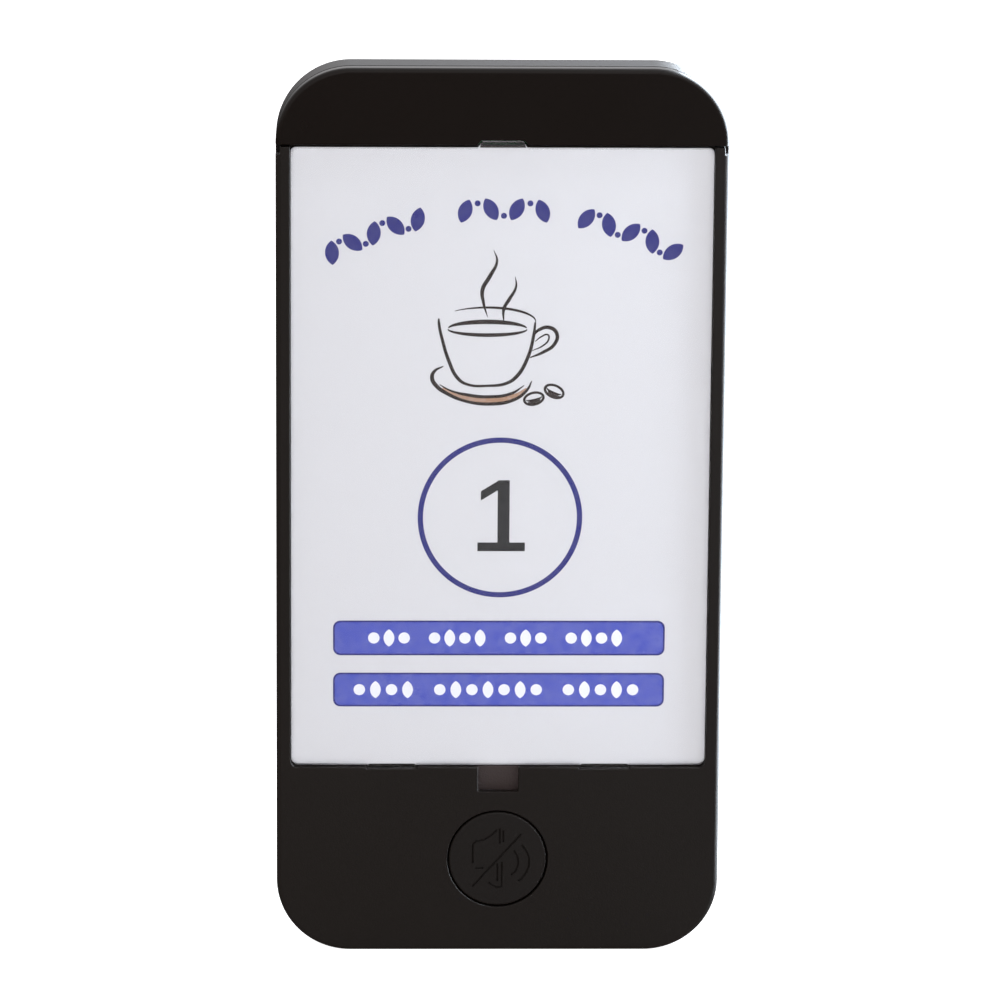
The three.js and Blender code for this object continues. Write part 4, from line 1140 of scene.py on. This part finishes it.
# The bars, in millimetres: low and high, where the marks start and end, and the marks in each group.
BAR_HALF = 22.36
BARS = (
    (41.50, 46.34, -17.9, 16.9, (3, 4, 3, 4)),
    (34.33, 39.06, -19.9, 19.2, (4, 7, 5)),
)
BAR_LINE = 0.24
BAR_CORNER = 1.0 * MM
FILL_CORNER = 0.8 * MM
MARK_LENGTH = 2.4
MARK_WIDTH = 1.45
MARK_SPOT = 0.78


class PAGER_OT_bar_print(bpy.types.Operator):
    """Prints the two bars and the light marks on them"""

    bl_idname = "pager.bar_print"
    bl_label = "Bars"

    def execute(self, context):
        edges, fills, marks = [], [], []
        half = BAR_HALF * MM
        line = BAR_LINE * MM
        for low, high, first, last, groups in BARS:
            outer = rounded_slab((-half, 0, low * MM), (half, MM, high * MM), BAR_CORNER)
            inner = rounded_slab((-half + line, -MM, low * MM + line),
                                 (half - line, 2 * MM, high * MM - line), FILL_CORNER)
            fills.append(copy(inner, (0, 0, 0), "fill"))
            edges.append(cut(outer, inner))
            middle = (low + high) / 2
            pitch = (last - first) / (sum(groups) + len(groups) - 1)
            place = first + pitch / 2
            for count in groups:
                for index in range(count):
                    if index % 2:
                        marks.append(leaf(place, middle, MARK_LENGTH, MARK_WIDTH))
                    else:
                        marks.append(spot(place, middle, MARK_SPOT))
                    place += pitch
                place += pitch
        lay_print(merge(edges, "edges"), "bar_edges_print", "navy_ink")
        lay_print(merge(fills, "fills"), "bars_print", "bar_ink")
        lay_print(merge(marks, "marks"), "bar_marks_print", "reversed_print", lift=0.7)
        return {"FINISHED"}


# ---------------------------------------------------------------- mute key


FLANGE_GAP = 0.1 * MM
FLANGE_THICKNESS = 0.6 * MM
PIN_RADIUS = 1.6 * MM
# The sign's lines in X and Z, in millimetres: a bar across, a speaker and two waves.
SIGN_STRAIGHT = (
    ((-3.42, 9.1), (3.2, 16.55)),
    ((-3.36, 12.4), (-3.36, 15.1), (-2.9, 15.6), (-1.9, 15.75), (-1.1, 16.2), (-0.1, 17.15)),
    ((0.3, 17.35), (0.3, 15.2)),
    ((0.78, 17.1), (0.78, 15.45)),
    ((0.0, 12.4), (0.0, 9.9)),
    ((0.6, 12.6), (0.6, 9.1), (-0.1, 9.0), (-1.2, 9.7)),
    ((-3.0, 11.75), (-1.9, 11.75)),
)
SIGN_CURVED = (
    ((2.25, 14.25), (2.75, 13.2), (2.75, 12.0), (2.35, 11.2), (1.85, 10.75)),
    ((3.3, 15.0), (4.05, 13.9), (4.3, 12.7), (4.05, 11.4), (3.5, 10.5), (2.85, 9.85)),
)


class PAGER_OT_mute_key(bpy.types.Operator):
    """Builds the round mute key with its engraved sign"""

    bl_idname = "pager.mute_key"
    bl_label = "Mute key"

    def execute(self, context):
        s = sizes()
        flange_front = CAD_LOW.y + s.front_plate + FLANGE_GAP
        flange_back = flange_front + FLANGE_THICKNESS
        face_back = flange_front + FLANGE_THICKNESS / 2
        key = bar(0, KEY_MIDDLE, s.key_radius, KEY_LOW.y, face_back, 128, "mute_key")
        round_rim(key, KEY_LOW.y, s.key_edge, 5)
        cut(key, *self.sign_lines())
        clean(key)
        join(key, bar(0, KEY_MIDDLE, (KEY_HIGH.x - KEY_LOW.x) / 2, flange_front, flange_back, 128))
        join(key, bar(0, KEY_MIDDLE, PIN_RADIUS, flange_back - FLANGE_GAP, KEY_HIGH.y, 32))
        smooth(key, 35)
        finish_piece(key, "key_matte", "mute_key", ["mute_button"])
        return {"FINISHED"}

    def sign_lines(self):
        """The sign's lines as cutters, sunk to the depth of the engraving."""
        s = sizes()
        width = s.engraved_line / MM
        lines = [stroke(points, width, smooth_line=False) for points in SIGN_STRAIGHT]
        lines += [stroke(points, width) for points in SIGN_CURVED]
        for line in lines:
            activate(line)
            line.location.y = KEY_LOW.y - s.engraved_line / 2 + s.engraving
            settle()
        return lines


# ---------------------------------------------------------------- screws and contacts


# Shares of a screw's head height, head radius and shank radius.
DOME_SHARE = 0.55
SLOT_FLOOR = 0.4
SLOT_REACH = 0.62
SLOT_HALF = 0.13
CORE_SHARE = 0.8
# Each kind of screw, with its head's radius and height, its shank's radius and its finish.
SCREWS = (
    ("case_screw", 1.9 * MM, 1.2 * MM, 0.9 * MM, "blackened_steel"),
    ("board_screw", 1.5 * MM, 1.0 * MM, 0.75 * MM, "bright_steel"),
)
STRIP = 0.4 * MM
LEG_HALF = 1 * MM
LEG_BACK = 0.5 * MM
CRISP = 0.001 * MM  # a chamfer too small to see, which keeps a corner out of the softening


def pan_screw(x, z, seat, head_radius, head_height, shank_radius, tip, name):
    """A pan-head screw from behind, with a domed head, a cross recess and a threaded shank."""
    top = seat + head_height
    head = bar(x, z, head_radius, seat, top, 48, name)
    round_rim(head, top, head_height * DOME_SHARE, 6)
    reach = head_radius * SLOT_REACH
    half = head_radius * SLOT_HALF
    for turn in (45, 135):
        slot = block((-reach, seat + head_height * SLOT_FLOOR, -half), (reach, top + head_height, half))
        slot.rotation_euler.y = math.radians(turn)
        slot.location = (x, 0, z)
        activate(slot)
        cut(head, settle())
    core = shank_radius * CORE_SHARE
    join(head, bar(x, z, core, tip, seat + head_height * 0.2, 20))
    pitch = core
    for index in range(int((seat - tip - pitch) / pitch)):
        y = tip + pitch * (index + 0.5)
        join(head, bar(x, z, shank_radius, y, y + pitch * 0.5, 20))
    return smooth(head, 35)


class PAGER_OT_screws(bpy.types.Operator):
    """Builds the four case screws and the four board screws"""

    bl_idname = "pager.screws"
    bl_label = "Screws"

    def execute(self, context):
        for kind, head_radius, head_height, shank_radius, look in SCREWS:
            first = None
            for number in range(1, 5):
                node_name = f"{kind}_{number}"
                name = node_name + "_turned"
                low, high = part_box(node_name)
                middle = (low + high) / 2
                if first is None:
                    made = pan_screw(middle.x, middle.z, high.y - head_height, head_radius,
                                     head_height, shank_radius, low.y, name)
                    first, start = made, middle
                else:
                    made = copy(first, middle - start, name)
                finish_piece(made, look, "housing", [node_name])
        return {"FINISHED"}


class PAGER_OT_contacts(bpy.types.Operator):
    """Builds the two charging contacts from bent strip"""

    bl_idname = "pager.contacts"
    bl_label = "Charging contacts"

    def execute(self, context):
        for name in CONTACTS:
            low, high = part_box(name)
            middle = (low.x + high.x) / 2
            pad = rounded_slab(low, (high.x, high.y, low.z + STRIP), CRISP, 1)
            leg = block((middle - LEG_HALF, LEG_BACK - STRIP, low.z), (middle + LEG_HALF, LEG_BACK, high.z))
            strip = join(pad, leg)
            clean(strip)
            soften(strip, STRIP / 5)
            strip.name = name + "_strip"
            smooth(strip)
            finish_piece(strip, "gold_finish", "housing", [name])
        return {"FINISHED"}


# ---------------------------------------------------------------- inside


INNER_LOOKS = {
    "circuit_board": ("main_pcb", "battery_strip"),
    "chip_epoxy": ("tact_switch_body", "mcu_chip", "receiver_chip", "charger_chip", "power_inductor",
                   "buzzer"),
    "rubber": ("tact_switch_plunger", "motor_boot"),
    "foam": ("battery_foam",),
    "connector_nylon": ("battery_header", "battery_plug"),
    "lamp_milky": ("light_guide", *(f"led_{number}" for number in range(1, 7))),
    "ceramic": tuple(f"capacitor_{number}" for number in range(1, 4)),
    "bright_steel": ("crystal", "motor_can", "motor_shaft"),
    "tungsten_finish": ("eccentric_weight",),
    "foil": ("battery_cell",),
    "gold_finish": ("antenna_coil",),
    "red_insulation": ("battery_lead_red", "motor_lead_red"),
    "black_insulation": ("battery_lead_black", "motor_lead_black"),
}


class PAGER_OT_inner_parts(bpy.types.Operator):
    """Gives the pieces inside the housing their finishes"""

    bl_idname = "pager.inner_parts"
    bl_label = "Inner parts"

    def execute(self, context):
        for look, names in INNER_LOOKS.items():
            for name in names:
                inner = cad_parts[name]
                inner.data.materials.clear()
                inner.data.materials.append(finish_named(look))
        return {"FINISHED"}


# ---------------------------------------------------------------- studio


FLOOR_SIZE = 6.0
FLOOR_DROP = 0.02 * MM  # below the pager, so that the two don't share a plane
CAMERA_ELEVATION = 13.83
CAMERA_AZIMUTH = -1.517
CAMERA_ROLL = 0.447
CAMERA_DISTANCE = 0.7605
CAMERA_LENS = 203.1
CAMERA_SHIFT = (0.0008, 0.0091)


def area_light(name, place, aim, size, strength, tint=(1, 1, 1)):
    """A soft rectangular lamp aimed at a point."""
    deselect()
    bpy.ops.object.light_add(type="AREA", location=place)
    lamp = bpy.context.active_object
    lamp.name = name
    lamp.rotation_euler = (Vector(aim) - Vector(place)).to_track_quat("-Z", "Y").to_euler()
    lamp.data.shape = "RECTANGLE"
    lamp.data.size, lamp.data.size_y = size
    lamp.data.energy = strength
    lamp.data.color = tint
    lamp.visible_camera = False
    return lamp


class PAGER_OT_studio(bpy.types.Operator):
    """Builds the floor, the soft lamps and the camera"""

    bl_idname = "pager.studio"
    bl_label = "Studio"

    def execute(self, context):
        self.floor()
        self.lamps()
        self.sky()
        self.camera()
        return {"FINISHED"}

    def floor(self):
        """A pale table that glows, so that it holds no shadow."""
        deselect()
        bpy.ops.mesh.primitive_plane_add(size=FLOOR_SIZE, location=(0, 0, -FLOOR_DROP))
        floor = settle("floor")
        look = Look("pale_floor")
        drift = noise(look.tree, look.vector, 3.0)
        look.set(Base_Color=blend_colours(look.tree, drift, (0.86, 0.86, 0.87), (0.89, 0.89, 0.90)),
                 Roughness=0.9, Specular_IOR_Level=0.1, Emission_Color=(1, 1, 1), Emission_Strength=1.0)
        floor.data.materials.append(look.material)
        floor.visible_glossy = False

    def lamps(self):
        """A weak fill from the front, and a cool panel that only the gloss on the right shows."""
        fill = area_light("front_fill", (-0.1, -1.0, 0.4), (0, 0, 0.06), size=(0.7, 0.5), strength=1.3)
        fill.visible_glossy = False
        panel = area_light("side_panel", (0.12, 0.145, 0.145), (0, 0.145, 0.145), size=(0.37, 0.3),
                           strength=10.0, tint=(0.80, 0.90, 1.0))
        panel.visible_diffuse = False
        panel.visible_transmission = False

    def sky(self):
        """A pale tent: brighter behind and overhead, dark below, dimmer on the left, white to the camera."""
        world = bpy.data.worlds.new("studio")
        bpy.context.scene.world = world
        world.use_nodes = True
        tree = world.node_tree
        direction = tree.nodes.new("ShaderNodeTexCoord").outputs["Generated"]
        axes = tree.nodes.new("ShaderNodeSeparateXYZ")
        put(axes, 0, direction)
        up = steps(tree, axes.outputs["Z"], -0.05, 0.2, 0.02, 0.68)
        side = steps(tree, axes.outputs["X"], -1.0, 0.6, 0.6, 1.1)
        behind = steps(tree, axes.outputs["Y"], -0.2, 0.6, 1.0, 1.9)
        soft = maths(tree, "MULTIPLY", maths(tree, "MULTIPLY", up, side), behind)
        seen = tree.nodes.new("ShaderNodeLightPath").outputs["Is Camera Ray"]
        unseen = maths(tree, "SUBTRACT", 1.0, seen)
        ground = tree.nodes["Background"]
        put(ground, "Color", blend_colours(tree, seen, (1.0, 0.985, 1.0), (1, 1, 1)))
        put(ground, "Strength", maths(tree, "MULTIPLY_ADD", soft, unseen, seen))

    def camera(self):
        """A long lens, a little above the front face and to its left."""
        aim = Vector((0, 0, CAD_HIGH.z / 2))
        elevation = math.radians(CAMERA_ELEVATION)
        azimuth = math.radians(CAMERA_AZIMUTH)
        roll = math.radians(CAMERA_ROLL)
        back = Vector((math.sin(azimuth) * math.cos(elevation), -math.cos(azimuth) * math.cos(elevation),
                       math.sin(elevation)))
        right = Vector((math.cos(azimuth), math.sin(azimuth), 0))
        up = back.cross(right)
        across = right * math.cos(roll) + up * math.sin(roll)
        upward = up * math.cos(roll) - right * math.sin(roll)
        turn = Matrix((across, upward, back)).transposed()
        deselect()
        bpy.ops.object.camera_add(location=aim + back * CAMERA_DISTANCE, rotation=turn.to_euler())
        camera = bpy.context.active_object
        camera.name = "camera"
        camera.data.sensor_width = 36
        camera.data.lens = CAMERA_LENS
        camera.data.shift_x, camera.data.shift_y = CAMERA_SHIFT
        camera.data.clip_start = 0.01
        bpy.context.scene.camera = camera
        bpy.context.scene.view_settings.view_transform = "Standard"


# ---------------------------------------------------------------- add-on


PIECES = (
    PAGER_OT_front_frame, PAGER_OT_lamp_cap, PAGER_OT_rear_shell, PAGER_OT_clear_cover, PAGER_OT_card,
    PAGER_OT_arc_print, PAGER_OT_cup_print, PAGER_OT_number_print, PAGER_OT_bar_print,
    PAGER_OT_mute_key, PAGER_OT_screws, PAGER_OT_contacts, PAGER_OT_inner_parts, PAGER_OT_studio,
)


class PAGER_PT_panel(bpy.types.Panel):
    """Lists the pager's operators, sizes and colours"""

    bl_idname = "PAGER_PT_panel"
    bl_label = "Guest pager"
    bl_space_type = "VIEW_3D"
    bl_region_type = "UI"
    bl_category = "Pager"

    def draw(self, context):
        for piece in PIECES:
            self.layout.operator(piece.bl_idname)
        for values in (context.scene.pager_sizes, context.scene.pager_colours):
            for name in values.__annotations__:
                self.layout.prop(values, name)


CLASSES = (PagerSizes, PagerColours, *PIECES, PAGER_PT_panel)


def register():
    for item in CLASSES:
        bpy.utils.register_class(item)
    bpy.types.Scene.pager_sizes = bpy.props.PointerProperty(type=PagerSizes)
    bpy.types.Scene.pager_colours = bpy.props.PointerProperty(type=PagerColours)


def unregister():
    del bpy.types.Scene.pager_colours
    del bpy.types.Scene.pager_sizes
    for item in reversed(CLASSES):
        bpy.utils.unregister_class(item)


def main():
    register()
    for piece in PIECES:
        group_name, action = piece.bl_idname.split(".")
        getattr(getattr(bpy.ops, group_name), action)()
    bpy.context.view_layer.update()


if __name__ == "__main__":
    main()
